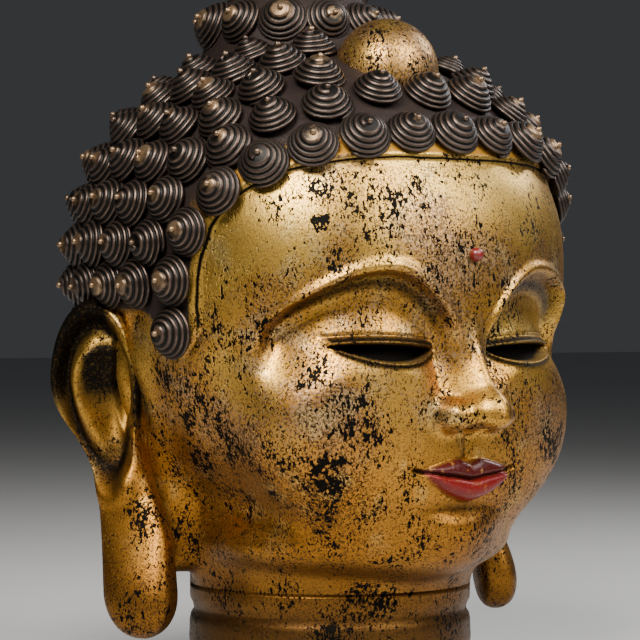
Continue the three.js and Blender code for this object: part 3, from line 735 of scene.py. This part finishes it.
def knot_rows():
    """Rings round the crown knot, and one curl on top."""
    centre, radii = np.array(KNOT[0], float), KNOT[1]
    rows = []
    for ring, tip in enumerate(KNOT_ROWS):
        up = math.radians(tip)
        count = round(2.0 * math.pi * radii[0] * math.cos(up) / (CURL_PITCH * KNOT_PITCH))
        turns = (np.arange(count) + 0.5 * (ring % 2)) / count * 2.0 * np.pi
        rows.append(surface(centre, aim(turns, np.full(count, up)), ground, start=1.0))
    rows.append(surface(centre, aim(np.zeros(1), np.full(1, math.pi / 2)), ground, start=1.0))
    points = np.concatenate(rows)
    return points[egg(*points.T, *JEWEL) > KNOT_CLEAR]


def uncrowded(points, others):
    """The points that keep clear of the others and of earlier ones."""
    kept = list(others)
    for place in points:
        if not kept or np.linalg.norm(np.array(kept) - place, axis=1).min() > CROWDED * CURL_PITCH:
            kept.append(place)
    return np.array(kept)[len(others):]


def settled(free, fixed):
    """Free curls pushed apart by their neighbours and the jewel, and set back on the ground each round."""
    reach = SETTLE.reach * CURL_PITCH
    for _ in range(SETTLE.rounds):
        away = free[:, None] - np.concatenate([fixed, free])[None]
        gap = np.linalg.norm(away, axis=-1, keepdims=True)
        push = np.where((gap > 1e-6) & (gap < reach), SETTLE.give * (reach - gap), 0.0)
        shift = (push * away / np.maximum(gap, 1e-6)).sum(1)
        shift[free[:, 2] < EAR_ARCH + ROW_STEP, 2] = 0.0
        off = free - JEWEL[0]
        press = np.maximum(SETTLE.jewel - egg(*free.T, *JEWEL), 0.0) / np.linalg.norm(off, axis=1)
        free = free + shift + press[:, None] * off
        for _ in range(2):
            free = free - ground(*free.T)[:, None] * outward(free, ground)
    return free


def curl_places():
    """Middle points of the curls: arch and knot keep their places, the rows on the skull shift apart."""
    half = spaced(arch_path, 0.0, 1.0, whole_steps)
    arch = np.concatenate([half, half[1:] * (-1, 1, 1)])
    fixed = uncrowded(np.concatenate([arch, knot_rows()]), [])
    return np.concatenate([fixed, settled(uncrowded(skull_rows(), fixed), fixed)])


def spiral_faces(rows, around, steps):
    """Quads and end fans of a strip that winds up a spiral: the last column of a row joins the first one
    of the row that lies as many rows above it as there are steps in a turn."""
    index = np.arange(rows * around).reshape(rows, around)
    quads = np.stack([index[:-1, :-1], index[:-1, 1:], index[1:, 1:], index[1:, :-1]], -1).reshape(-1, 4)
    last, first = index[:, -1], index[:, 0]
    seam = np.stack([last[:rows - steps - 1], first[steps:-1], first[steps + 1:], last[1:rows - steps]], -1)
    bottom = np.concatenate([index[0], first[steps:0:-1]])
    top = np.concatenate([index[-1], last[-2:-steps - 2:-1]])
    foot, tip = rows * around, rows * around + 1
    fans = [
        np.stack([np.full(len(bottom), foot), np.roll(bottom, -1), bottom], -1),
        np.stack([np.full(len(top), tip), top, np.roll(top, -1)], -1),
    ]
    return np.concatenate([quads, seam]), np.concatenate(fans)


def snail_curl():
    """One curl, standing on z = 0: a rounded rib on a spiral that climbs a domed cone, and a ball on its tip.
    Returns points, quads, triangles, how high on the rib and how far up the cone each point lies."""
    steps, around = CURL.steps, CURL.around
    rows = CURL.turns * steps + 1
    i, c = np.meshgrid(np.arange(rows), np.arange(around), indexing="ij")
    climb = (i / steps + c / around) / (CURL.turns + 1)
    rib = np.sqrt(unit(1.0 - (2.0 * (i % steps) / steps - 1.0) ** 2))
    radius = 1.0 - CURL_TAPER.share * climb ** CURL_TAPER.power - CURL_TAPER.inset
    height = CURL_CLIMB.foot + CURL_CLIMB.rise * climb ** CURL_CLIMB.power
    swell = CURL_RIB.swell * (1.0 - CURL_RIB.thinner * climb) * rib
    angle = -c / around * 2.0 * np.pi
    wide = CURL.radius * radius + swell * CURL_RIB.out
    rings = np.stack([wide * np.cos(angle), wide * np.sin(angle),
                      CURL.height * height + swell * CURL_RIB.up], -1)
    ends = np.array([[0.0, 0.0, CURL.root], [0.0, 0.0, rings[-1, :, 2].max()]])
    quads, triangles = spiral_faces(rows, around, steps)

    tilt = np.linspace(*TIP_BALL.tilt, TIP_BALL.rows)[:, None]
    turn = np.arange(TIP_BALL.around)[None, :] / TIP_BALL.around * 2.0 * np.pi
    size = TIP_BALL.radius
    centre = ends[1] - (0, 0, TIP_BALL.sink)
    ball = aim(np.pi / 2.0 + turn, tilt) * size + centre
    points, faces, fans = closed_grid(ball, centre - (0, 0, size), centre + (0, 0, size))

    first = rings.size // 3 + 2
    everything = np.concatenate([rings.reshape(-1, 3), ends, points])
    crest, climbed = (np.concatenate([v.ravel(), [0.0, 1.0], np.ones(len(points))]) for v in (rib, climb))
    return (everything, np.concatenate([quads, faces + first]), np.concatenate([triangles, fans + first]),
            crest, climbed)


def plant_curls(places, chance):
    """Copies of the curl on the ground at the places, each turned, tilted and sized a little by chance."""
    points, quads, triangles, crest, climbed = snail_curl()
    count = len(places)
    out = outward(places, ground) + chance.normal(0.0, CHANCE.tilt, (count, 3))
    out /= np.linalg.norm(out, axis=1, keepdims=True)
    side = np.cross(out, np.where(np.abs(out[:, 2:]) > 0.9, [[1.0, 0.0, 0.0]], [[0.0, 0.0, 1.0]]))
    side /= np.linalg.norm(side, axis=1, keepdims=True)
    spin = chance.uniform(0.0, 2.0 * np.pi, count)[:, None]
    a = np.cos(spin) * side + np.sin(spin) * np.cross(out, side)
    axes = np.stack([a, np.cross(out, a), out], 1)
    local = points[None] * chance.uniform(*CHANCE.size, (count, 1, 1))
    placed = places[:, None] + local @ axes
    step = (np.arange(count) * len(points))[:, None, None]
    worn = np.repeat(chance.uniform(0.0, 1.0, count), len(points))
    masks = {"rib": np.tile(crest, count), "climb": np.tile(climbed, count), "worn": worn}
    faces = [(corners[None] + step).reshape(-1, corners.shape[1]) for corners in (quads, triangles)]
    return placed.reshape(-1, 3), *faces, masks


def egg_rings(centre, radii, rows, around):
    """Closed grid of an egg: rings between its two poles, from the lowest up."""
    tilt = np.linspace(-np.pi / 2, np.pi / 2, rows + 2)[1:-1, None]
    turn = np.arange(around)[None, :] / around * 2.0 * np.pi
    foot, top = np.array(centre) - (0, 0, radii[2]), np.array(centre) + (0, 0, radii[2])
    return closed_grid(aim(turn, tilt) * radii + centre, foot, top)


# shader tools


def math_method(operation, reflected=False):
    """Method that adds one Math node; reflected is for a value on the right of the sign."""

    def method(value, other):
        return value.math(operation, *((other, value) if reflected else (value, other)))

    return method


class Value:
    """A shader socket that adds Math nodes when it is used in an expression."""

    def __init__(self, finish, socket):
        self.finish = finish
        self.socket = socket

    def math(self, operation, *terms):
        return self.finish.node("ShaderNodeMath", {"operation": operation}, dict(enumerate(terms)))

    __add__ = math_method("ADD")
    __radd__ = math_method("ADD", reflected=True)
    __sub__ = math_method("SUBTRACT")
    __rsub__ = math_method("SUBTRACT", reflected=True)
    __mul__ = math_method("MULTIPLY")
    __rmul__ = math_method("MULTIPLY", reflected=True)
    __pow__ = math_method("POWER")
    most = math_method("MAXIMUM")
    least = math_method("MINIMUM")


class Finish:
    """A material under construction, with the nodes that its patterns are made of."""

    def __init__(self, name):
        self.material = bpy.data.materials.new(name)
        self.material.use_nodes = True
        self.nodes = self.material.node_tree.nodes
        self.links = self.material.node_tree.links
        self.shader = self.nodes["Principled BSDF"]
        self.place = self.node("ShaderNodeTexCoord", output="Object")

    def node(self, kind, settings=None, inputs=None, output=0):
        """Adds one node: its settings first, then the values or links of its sockets."""
        node = self.nodes.new(kind)
        for key, value in (settings or {}).items():
            setattr(node, key, value)
        for key, value in (inputs or {}).items():
            self.feed(node.inputs[key], value)
        return Value(self, node.outputs[output])

    def feed(self, socket, value):
        """Links a socket to a value, or sets it; a colour is given by its three parts."""
        if isinstance(value, Value):
            self.links.new(value.socket, socket)
        elif socket.type == "RGBA":
            socket.default_value = (*value, 1.0)
        else:
            socket.default_value = value

    def noise(self, size, detail, rough=0.5, stretch=1.0, shift=0.0):
        """Cloudy pattern from 0 to 1; size is that of one cloud in metres, stretch draws it out upwards."""
        scale = (1.0 / size, 1.0 / size, 1.0 / size / stretch)
        moved = {"Vector": self.place, "Scale": scale, "Location": (shift, shift, 0.0)}
        place = self.node("ShaderNodeMapping", inputs=moved)
        inputs = {"Vector": place, "Scale": 1.0, "Detail": detail, "Roughness": rough}
        return self.node("ShaderNodeTexNoise", inputs=inputs)

    def step(self, value, low, high):
        """0 below low and 1 above high, smooth between them."""
        settings = {"interpolation_type": "SMOOTHSTEP"}
        return self.node("ShaderNodeMapRange", settings, {"Value": value, "From Min": low, "From Max": high})

    def mask(self, name):
        return self.node("ShaderNodeAttribute", {"attribute_name": name}, output="Fac")

    def mix(self, factor, a, b):
        """Colour a where the factor is 0 and b where it is 1."""
        return self.node("ShaderNodeMix", {"data_type": "RGBA"}, {0: factor, 6: a, 7: b}, output=2)

    def layered(self, colour, layers):
        """A colour under further ones, each given by how much of it shows and by the colour."""
        for share, tint in layers:
            colour = self.mix(share, colour, tint)
        return colour

    def axis(self, index):
        """One coordinate in fingers: 0 towards the figure's left, 1 backwards, 2 up."""
        split = self.node("ShaderNodeSeparateXYZ", inputs={0: self.place}, output=index)
        return split * (1.0 / FINGER)

    def behind_hairline(self):
        """Depth in fingers behind the arch of the hair, by the rule of hair_depth."""
        x = self.axis(0)
        around = x.math("ARCTAN2", x.math("ABSOLUTE", x), self.axis(1) * -1.0)
        around = around * (math.degrees(1.0) / HAIR_ARCH.turn)
        above = (self.axis(2) - HAIR_ARCH.foot).most(0.0) * (1.0 / (HAIRLINE - HAIR_ARCH.foot))
        power = HAIR_ARCH.power
        return ((around ** power + above ** power) ** (1.0 / power) - 1.0) * HAIR_ARCH.deep

    def near(self, spot, radius):
        """1 at a spot given in fingers, falling to 0 at the radius."""
        x, f, z = spot
        ends = {0: self.place, 1: (x * FINGER, -f * FINGER, z * FINGER)}
        away = self.node("ShaderNodeVectorMath", {"operation": "DISTANCE"}, ends, output=1)
        return 1.0 - self.step(away, 0.0, radius * FINGER)

    def gathered(self, value, spots, weight):
        """A value raised by the weight round each of some spots."""
        for spot, radius in spots:
            value = value + self.near(spot, radius) * weight
        return value

    def bump(self, height, distance, strength):
        """Bump of a pattern whose full range is the distance in metres."""
        inputs = {"Height": height, "Distance": distance, "Strength": strength}
        self.feed(self.shader.inputs["Normal"], self.node("ShaderNodeBump", inputs=inputs))

    def set(self, **sockets):
        for name, value in sockets.items():
            self.feed(self.shader.inputs[name.replace("_", " ")], value)


# finishes


def gold_tones(finish, tints, height, broad, cloud, grain):
    """Gold from yellow to deep: amber low down, partly its own tone and partly painted shade, brown painted
    shade on the lower face and the neck, darker on the jewel, paler in clouds, a pale painted highlight on
    the forehead and a brown grain. Returns it and how low each point lies."""
    # amber towards the bottom of the face, partly the lacquer's tone and partly painted shade
    low = 1.0 - finish.step(height + broad * 4.0, 7.0, 13.5)
    # painted shade, browner towards the bottom of the face
    lowest = 1.0 - finish.step(height + cloud * 3.0, 3.5, 9.0)
    clouds = finish.step(cloud, 0.52, 0.72) * 0.45 * finish.step(height, 3.0, 8.0)
    # a painted highlight of pale gold over the forehead
    forehead = finish.step(height + broad * 3.0, 13.0, 16.5)
    # painted shade on the neck under the jaw
    neck = (1.0 - finish.step(height + cloud, 2.6, 4.4)) * finish.near((0.0, 0.5, 1.5), 7.5) * 1.7
    jewel = finish.step(height, 16.2, 17.2) * finish.step(cloud, 0.3, 0.6)
    gold = finish.layered(tints.gold, (
        (finish.step(broad, 0.38, 0.58), tints.gold_deep),
        (low * 0.85, tints.amber),
        (lowest * 0.5, tints.brown),
        (clouds, tints.gold_pale),
        (forehead * 0.22, tints.gold_pale),
        (neck.least(0.8), tints.brown),
        (jewel * 0.5, tints.amber),
        (finish.step(grain, 0.44, 0.62) * 0.45, tints.brown),
    ))
    return gold, low


def bare_lacquer(finish, cluster):
    """Where the gold is gone: spots of three sizes that crowd in clusters, and the larger patches."""
    patches = finish.noise(0.006, 4.0, 0.65, stretch=1.3, shift=17.0)
    bare = finish.step(finish.gathered(patches, BARE_PATCHES, 0.34), 0.78, 0.795)
    for *pattern, weight, low, high in BARE_SPOTS:
        bare = bare.most(finish.step(finish.noise(*pattern) + cluster * weight, low, high))
    return bare


def gilding(tints):
    """Worn gold over dark lacquer: stippled where it is thin, with bare spots and patches, painted shade in
    the hollows, red lips, the upper one darker with painted shade, black eye slits, brown hair ground with a
    gilt edge, and a black line of painted shade between hair and face."""
    finish = Finish("worn_gilding")
    height = finish.axis(2)
    broad = finish.noise(0.06, 2.0)
    cloud = finish.noise(0.02, 3.0, shift=7.0)
    grain = finish.noise(0.0009, 2.0, 0.6)
    stipple = finish.noise(0.0015, 2.0, 0.65, shift=3.0)
    cluster = finish.noise(0.018, 2.0, stretch=1.4, shift=11.0)
    rubbed = finish.step(finish.noise(0.004, 3.0, 0.6, shift=23.0), 0.58, 0.68)
    gold, low = gold_tones(finish, tints, height, broad, cloud, grain)

    thin = broad * 0.6 + cloud * 0.4
    bare = bare_lacquer(finish, finish.gathered(cluster + (thin - 0.5) * 0.6, SPOTTED, 0.12))
    thin = finish.gathered(thin, THIN_GOLD, 0.13) - 0.5
    dots = finish.step(stipple + thin * 0.45, 0.555, 0.60)
    worn = finish.step(grain + thin * 0.9, 0.57, 0.64)

    painted_shade, upper, lower, eye, over_foot = (
        finish.mask(name) for name in ("painted_shade", "upper_lip", "lower_lip", "eye", "over_foot")
    )
    depth = finish.behind_hairline() + (cloud - 0.5) * 0.12
    hair = finish.step(depth, 0.1, 0.2) * over_foot
    # a thin black line of painted shade, where a groove between hair and face would lie
    line = finish.step(depth, -0.07, -0.03) * (1.0 - finish.step(depth, 0.0, 0.04)) * over_foot
    inner = finish.step(depth + (grain - 0.5) * 0.9, 0.3, 0.75)
    gilt = hair * (1.0 - inner) * finish.step(height, 13.0, 15.0)

    colour = finish.layered(gold, (
        (worn * 0.4 * finish.step(height, 6.0, 9.0), tints.plum),
        (dots * 0.7, tints.brown),
        # painted shade in the hollows of the face and ears, in stippled black
        (painted_shade * (0.8 + stipple * 0.4), tints.lacquer),
        (bare, tints.lacquer),
        # the upper lip in a darker red of painted shade, rubbed through in places
        (upper * (1.0 - rubbed * 0.5), tints.lip_shaded),
        (lower * (1.0 - rubbed * 0.25), tints.lip),
        (eye, tints.lacquer),
        (hair, finish.mix(gilt * 0.8, tints.hair_ground, tints.gold_deep)),
        (line, tints.lacquer),
    ))
    lips = upper.most(lower)
    metal = 0.96 - lips * 0.9 - hair * (1.0 - gilt) * 0.5
    rough = 0.27 + grain * 0.16 + worn * 0.1 + bare * 0.2 + hair * 0.2 + painted_shade * 0.15
    rough = rough - lips * 0.14 + eye * 0.4 + low * 0.07
    finish.set(Base_Color=colour, Metallic=metal, Roughness=rough, Specular_IOR_Level=0.25)
    finish.bump(grain * 0.3 + stipple * 0.25 - bare * 0.5, distance=0.0004, strength=0.7)


def dark_bronze(tints):
    """Bronze of the curls: black in the grooves, partly dark patina and partly painted shade, brown on the
    ribs, a painted highlight on the rubbed crests, warm on the tips.
    """
    finish = Finish("curl_bronze")
    rib = finish.mask("rib")
    cloud = finish.noise(0.006, 3.0, 0.6)
    fine = finish.noise(0.0012, 2.0, 0.6, shift=4.0)
    # grooves black, partly dark patina and partly painted shade
    crest = finish.step(rib, 0.72, 1.0)
    # a painted highlight along the crests of the ribs, partly rubbed bronze
    crest_highlight = finish.step(rib + cloud * 0.3, 1.11, 1.26)
    tip = finish.step(finish.mask("climb") + cloud * 0.5 + finish.mask("worn") * 0.3, 1.25, 1.45)
    layers = ((crest, tints.hair), (crest_highlight * 0.55, tints.hair_worn_and_highlight), (tip * 0.6, tints.tip))
    colour = finish.layered(tints.lacquer, layers)
    finish.set(Base_Color=colour, Metallic=0.8, Roughness=0.4 - crest * 0.1 + fine * 0.12)
    finish.bump(fine * 0.6 + cloud * 0.4, distance=0.0003, strength=0.5)


def red_lacquer(tints):
    """Red lacquer of the bead, rubbed through to dark brown in places."""
    finish = Finish("bead_lacquer")
    cloud = finish.noise(0.0022, 3.0, 0.6)
    worn = finish.step(cloud, 0.55, 0.68)
    colour = finish.mix(worn * 0.8, tints.lip, tints.brown)
    finish.set(Base_Color=colour, Metallic=worn * 0.3, Roughness=0.3 + worn * 0.2)
    finish.bump(cloud, distance=0.0003, strength=0.6)


# settings


def colour_property(name, description, default):
    return bpy.props.FloatVectorProperty(name=name, description=description, default=default, subtype="COLOR",
                                         size=3, min=0.0, max=1.0)


def number_property(name, description, default, **kind):
    return bpy.props.FloatProperty(name=name, description=description, default=default, **kind)


class HeadColours(bpy.types.PropertyGroup):
    gold: colour_property("Gold", "Gold leaf in full light", (0.68, 0.4, 0.07))
    gold_deep: colour_property("Deep gold", "Thicker, browner gold", (0.46, 0.22, 0.026))
    # on the forehead the pale gold is a painted highlight; elsewhere it is rubbed gold in clouds
    gold_pale: colour_property("Pale gold", "Rubbed gold on the forehead and the cheeks", (0.84, 0.6, 0.2))
    # low on the face the amber is partly painted shade
    amber: colour_property("Amber", "Lacquered gold low on the jaw and the lobes", (0.36, 0.14, 0.016))
    plum: colour_property("Plum", "Greyed lacquer that shows through thin gold", (0.3, 0.235, 0.225))
    # brown also paints shade on the lower face and the neck
    brown: colour_property("Brown", "Lacquer under the gold and in the hollows", (0.05, 0.026, 0.01))
    # black also paints shade in the hollows of face and ears and along the hairline, and with the patina in
    # the curl grooves
    lacquer: colour_property("Black", "Bare lacquer where the gold is gone", (0.006, 0.005, 0.004))
    lip: colour_property("Red", "Red lacquer of the lower lip and the bead", (0.125, 0.005, 0.004))
    # the upper lip's darker red is painted shade over the same red lacquer
    lip_shaded: colour_property("Dark red", "Red lacquer of the upper lip", (0.055, 0.006, 0.005))
    hair: colour_property("Hair", "Bronze of the curls", (0.058, 0.039, 0.03))
    # the crest colour is partly rubbed bronze and partly a painted highlight
    hair_worn_and_highlight: colour_property("Worn hair", "Rubbed crests of the curls", (0.29, 0.2, 0.145))
    hair_ground: colour_property("Hair ground", "Smooth ground between the curls", (0.02, 0.0125, 0.0105))
    tip: colour_property("Curl tips", "Rubbed tips of the curls", (0.3, 0.19, 0.1))


class HeadStage(bpy.types.PropertyGroup):
    azimuth: number_property("Azimuth", "Angle of the camera round the head", math.radians(-37.0),
                             subtype="ANGLE")
    elevation: number_property("Elevation", "Angle of the camera over the horizon", 0.0, subtype="ANGLE")
    distance: number_property("Distance", "From the camera to the middle of the head", 1.6, unit="LENGTH")
    aim_height: number_property("Aim height", "Height that the camera looks at", 0.222, unit="LENGTH")
    width: number_property("Framed width", "Width that the picture takes in", 0.391, unit="LENGTH")
    floor: colour_property("Floor", "Colour of the plain floor", (0.58, 0.58, 0.57))


# operators


class AddFinishes(bpy.types.Operator):
    """Materials of the head"""

    bl_idname = "buddha.add_finishes"
    bl_label = "Finishes"

    def execute(self, context):
        for finish in (gilding, dark_bronze, red_lacquer):
            finish(context.scene.buddha_colours)
        return {"FINISHED"}


class AddSkin(bpy.types.Operator):
    """Face, neck and hair ground of the casting"""

    bl_idname = "buddha.add_skin"
    bl_label = "Skin of the Head"

    def execute(self, context):
        points, quads, triangles = closed_grid(*skin_grid())
        points[:, 2] = np.maximum(points[:, 2], 0.0)
        piece = build("head_skin", points, quads, triangles, skin_masks(points))
        finish_piece(piece, "worn_gilding", "head")
        return {"FINISHED"}


class AddEars(bpy.types.Operator):
    """Both ears, with their long lobes"""

    bl_idname = "buddha.add_ears"
    bl_label = "Ears"

    def execute(self, context):
        near, far = ear_mesh(-1), ear_mesh(1)
        count = len(near[0])
        points, hollow = np.concatenate([near[0], far[0]]), np.concatenate([near[3], far[3]])
        quads, triangles = (np.concatenate([near[i], far[i] + count]) for i in (1, 2))
        # the ears carry painted shade in their hollows
        piece = build("ears", points, quads, triangles, {"painted_shade": hollow})
        finish_piece(piece, "worn_gilding", "head")
        return {"FINISHED"}


class AddCurls(bpy.types.Operator):
    """Snail-shell curls, in three groups"""

    bl_idname = "buddha.add_curls"
    bl_label = "Curls"

    def execute(self, context):
        places = curl_places()
        chance = np.random.default_rng(CHANCE.seed)
        crown = places[:, 2] > CROWN_ABOVE
        face = ~crown & (places[:, 1] > FACE_BEFORE)
        groups = {"curls_face": face, "curls_crown": crown, "curls_back": ~crown & ~face}
        for name, chosen in groups.items():
            piece = build(name, *plant_curls(places[chosen], chance))
            finish_piece(piece, "curl_bronze", "head")
        return {"FINISHED"}


class AddJewel(bpy.types.Operator):
    """Smooth half-round jewel at the foot of the crown knot"""

    bl_idname = "buddha.add_jewel"
    bl_label = "Jewel"

    def execute(self, context):
        piece = build("jewel", *egg_rings(JEWEL[0], np.array(JEWEL[1]), *JEWEL_GRID))
        finish_piece(piece, "worn_gilding", "head")
        return {"FINISHED"}


class AddBead(bpy.types.Operator):
    """Red bead in the forehead"""

    bl_idname = "buddha.add_bead"
    bl_label = "Forehead Bead"

    def execute(self, context):
        centre, radius = BEAD
        piece = build("forehead_bead", *egg_rings(centre, np.full(3, radius), *BEAD_GRID))
        finish_piece(piece, "bead_lacquer", "urna_bead")
        return {"FINISHED"}


def stand(item, azimuth, elevation, distance, height):
    """Puts a camera or a lamp at a distance and turns it to a height on the axis of the head."""
    level = math.cos(elevation)
    back = Vector((math.sin(azimuth) * level, -math.cos(azimuth) * level, math.sin(elevation)))
    item.location = Vector((0, 0, height)) + back * distance
    item.rotation_mode = "QUATERNION"
    item.rotation_quaternion = (-back).to_track_quat("-Z", "Y")
    bpy.context.scene.collection.objects.link(item)


class AddStage(bpy.types.Operator):
    """Plain floor, soft studio light and the camera"""

    bl_idname = "buddha.add_stage"
    bl_label = "Stage"

    def execute(self, context):
        stage = context.scene.buddha_stage
        mesh = bpy.data.meshes.new("floor")
        reach = FLOOR.reach
        corners = [(-reach, -reach, 0), (reach, -reach, 0), (reach, reach, 0), (-reach, reach, 0)]
        mesh.from_pydata(corners, [], [(0, 1, 2, 3)])
        floor = bpy.data.objects.new("floor", mesh)
        floor.location.z = -FLOOR.drop
        context.scene.collection.objects.link(floor)
        finish = Finish("floor")
        finish.set(Base_Color=stage.floor, Roughness=FLOOR.roughness)
        mesh.materials.append(finish.material)

        world = bpy.data.worlds.new("studio")
        world.use_nodes = True
        sky = world.node_tree.nodes["Background"].inputs
        sky["Color"].default_value = SKY.colour
        sky["Strength"].default_value = SKY.strength
        context.scene.world = world

        camera = bpy.data.cameras.new("camera")
        camera.sensor_width = SENSOR
        camera.lens = SENSOR * stage.distance / stage.width
        eye = bpy.data.objects.new("camera", camera)
        stand(eye, stage.azimuth, stage.elevation, stage.distance, stage.aim_height)
        context.scene.camera = eye

        for name, azimuth, elevation, distance, size, power, colour in LAMPS:
            light = bpy.data.lights.new(name, "AREA")
            light.size = size
            light.energy = power
            light.color = colour
            lamp = bpy.data.objects.new(name, light)
            stand(lamp, math.radians(azimuth), math.radians(elevation), distance, LAMP_AIM)
        return {"FINISHED"}


OPERATORS = (AddFinishes, AddSkin, AddEars, AddCurls, AddJewel, AddBead, AddStage)


class HeadPanel(bpy.types.Panel):
    bl_label = "Buddha Head"
    bl_idname = "VIEW3D_PT_buddha_head"
    bl_space_type = "VIEW_3D"
    bl_region_type = "UI"
    bl_category = "Buddha Head"

    def draw(self, context):
        for operator in OPERATORS:
            self.layout.operator(operator.bl_idname)
        for group in (context.scene.buddha_colours, context.scene.buddha_stage):
            box = self.layout.box()
            for name in group.__annotations__:
                box.prop(group, name)


CLASSES = (HeadColours, HeadStage, *OPERATORS, HeadPanel)


def register():
    for item in CLASSES:
        bpy.utils.register_class(item)
    bpy.types.Scene.buddha_colours = bpy.props.PointerProperty(type=HeadColours)
    bpy.types.Scene.buddha_stage = bpy.props.PointerProperty(type=HeadStage)


def unregister():
    del bpy.types.Scene.buddha_stage
    del bpy.types.Scene.buddha_colours
    for item in reversed(CLASSES):
        bpy.utils.unregister_class(item)


def main():
    register()
    for operator in OPERATORS:
        group, name = operator.bl_idname.split(".")
        getattr(getattr(bpy.ops, group), name)()


if __name__ == "__main__":
    main()
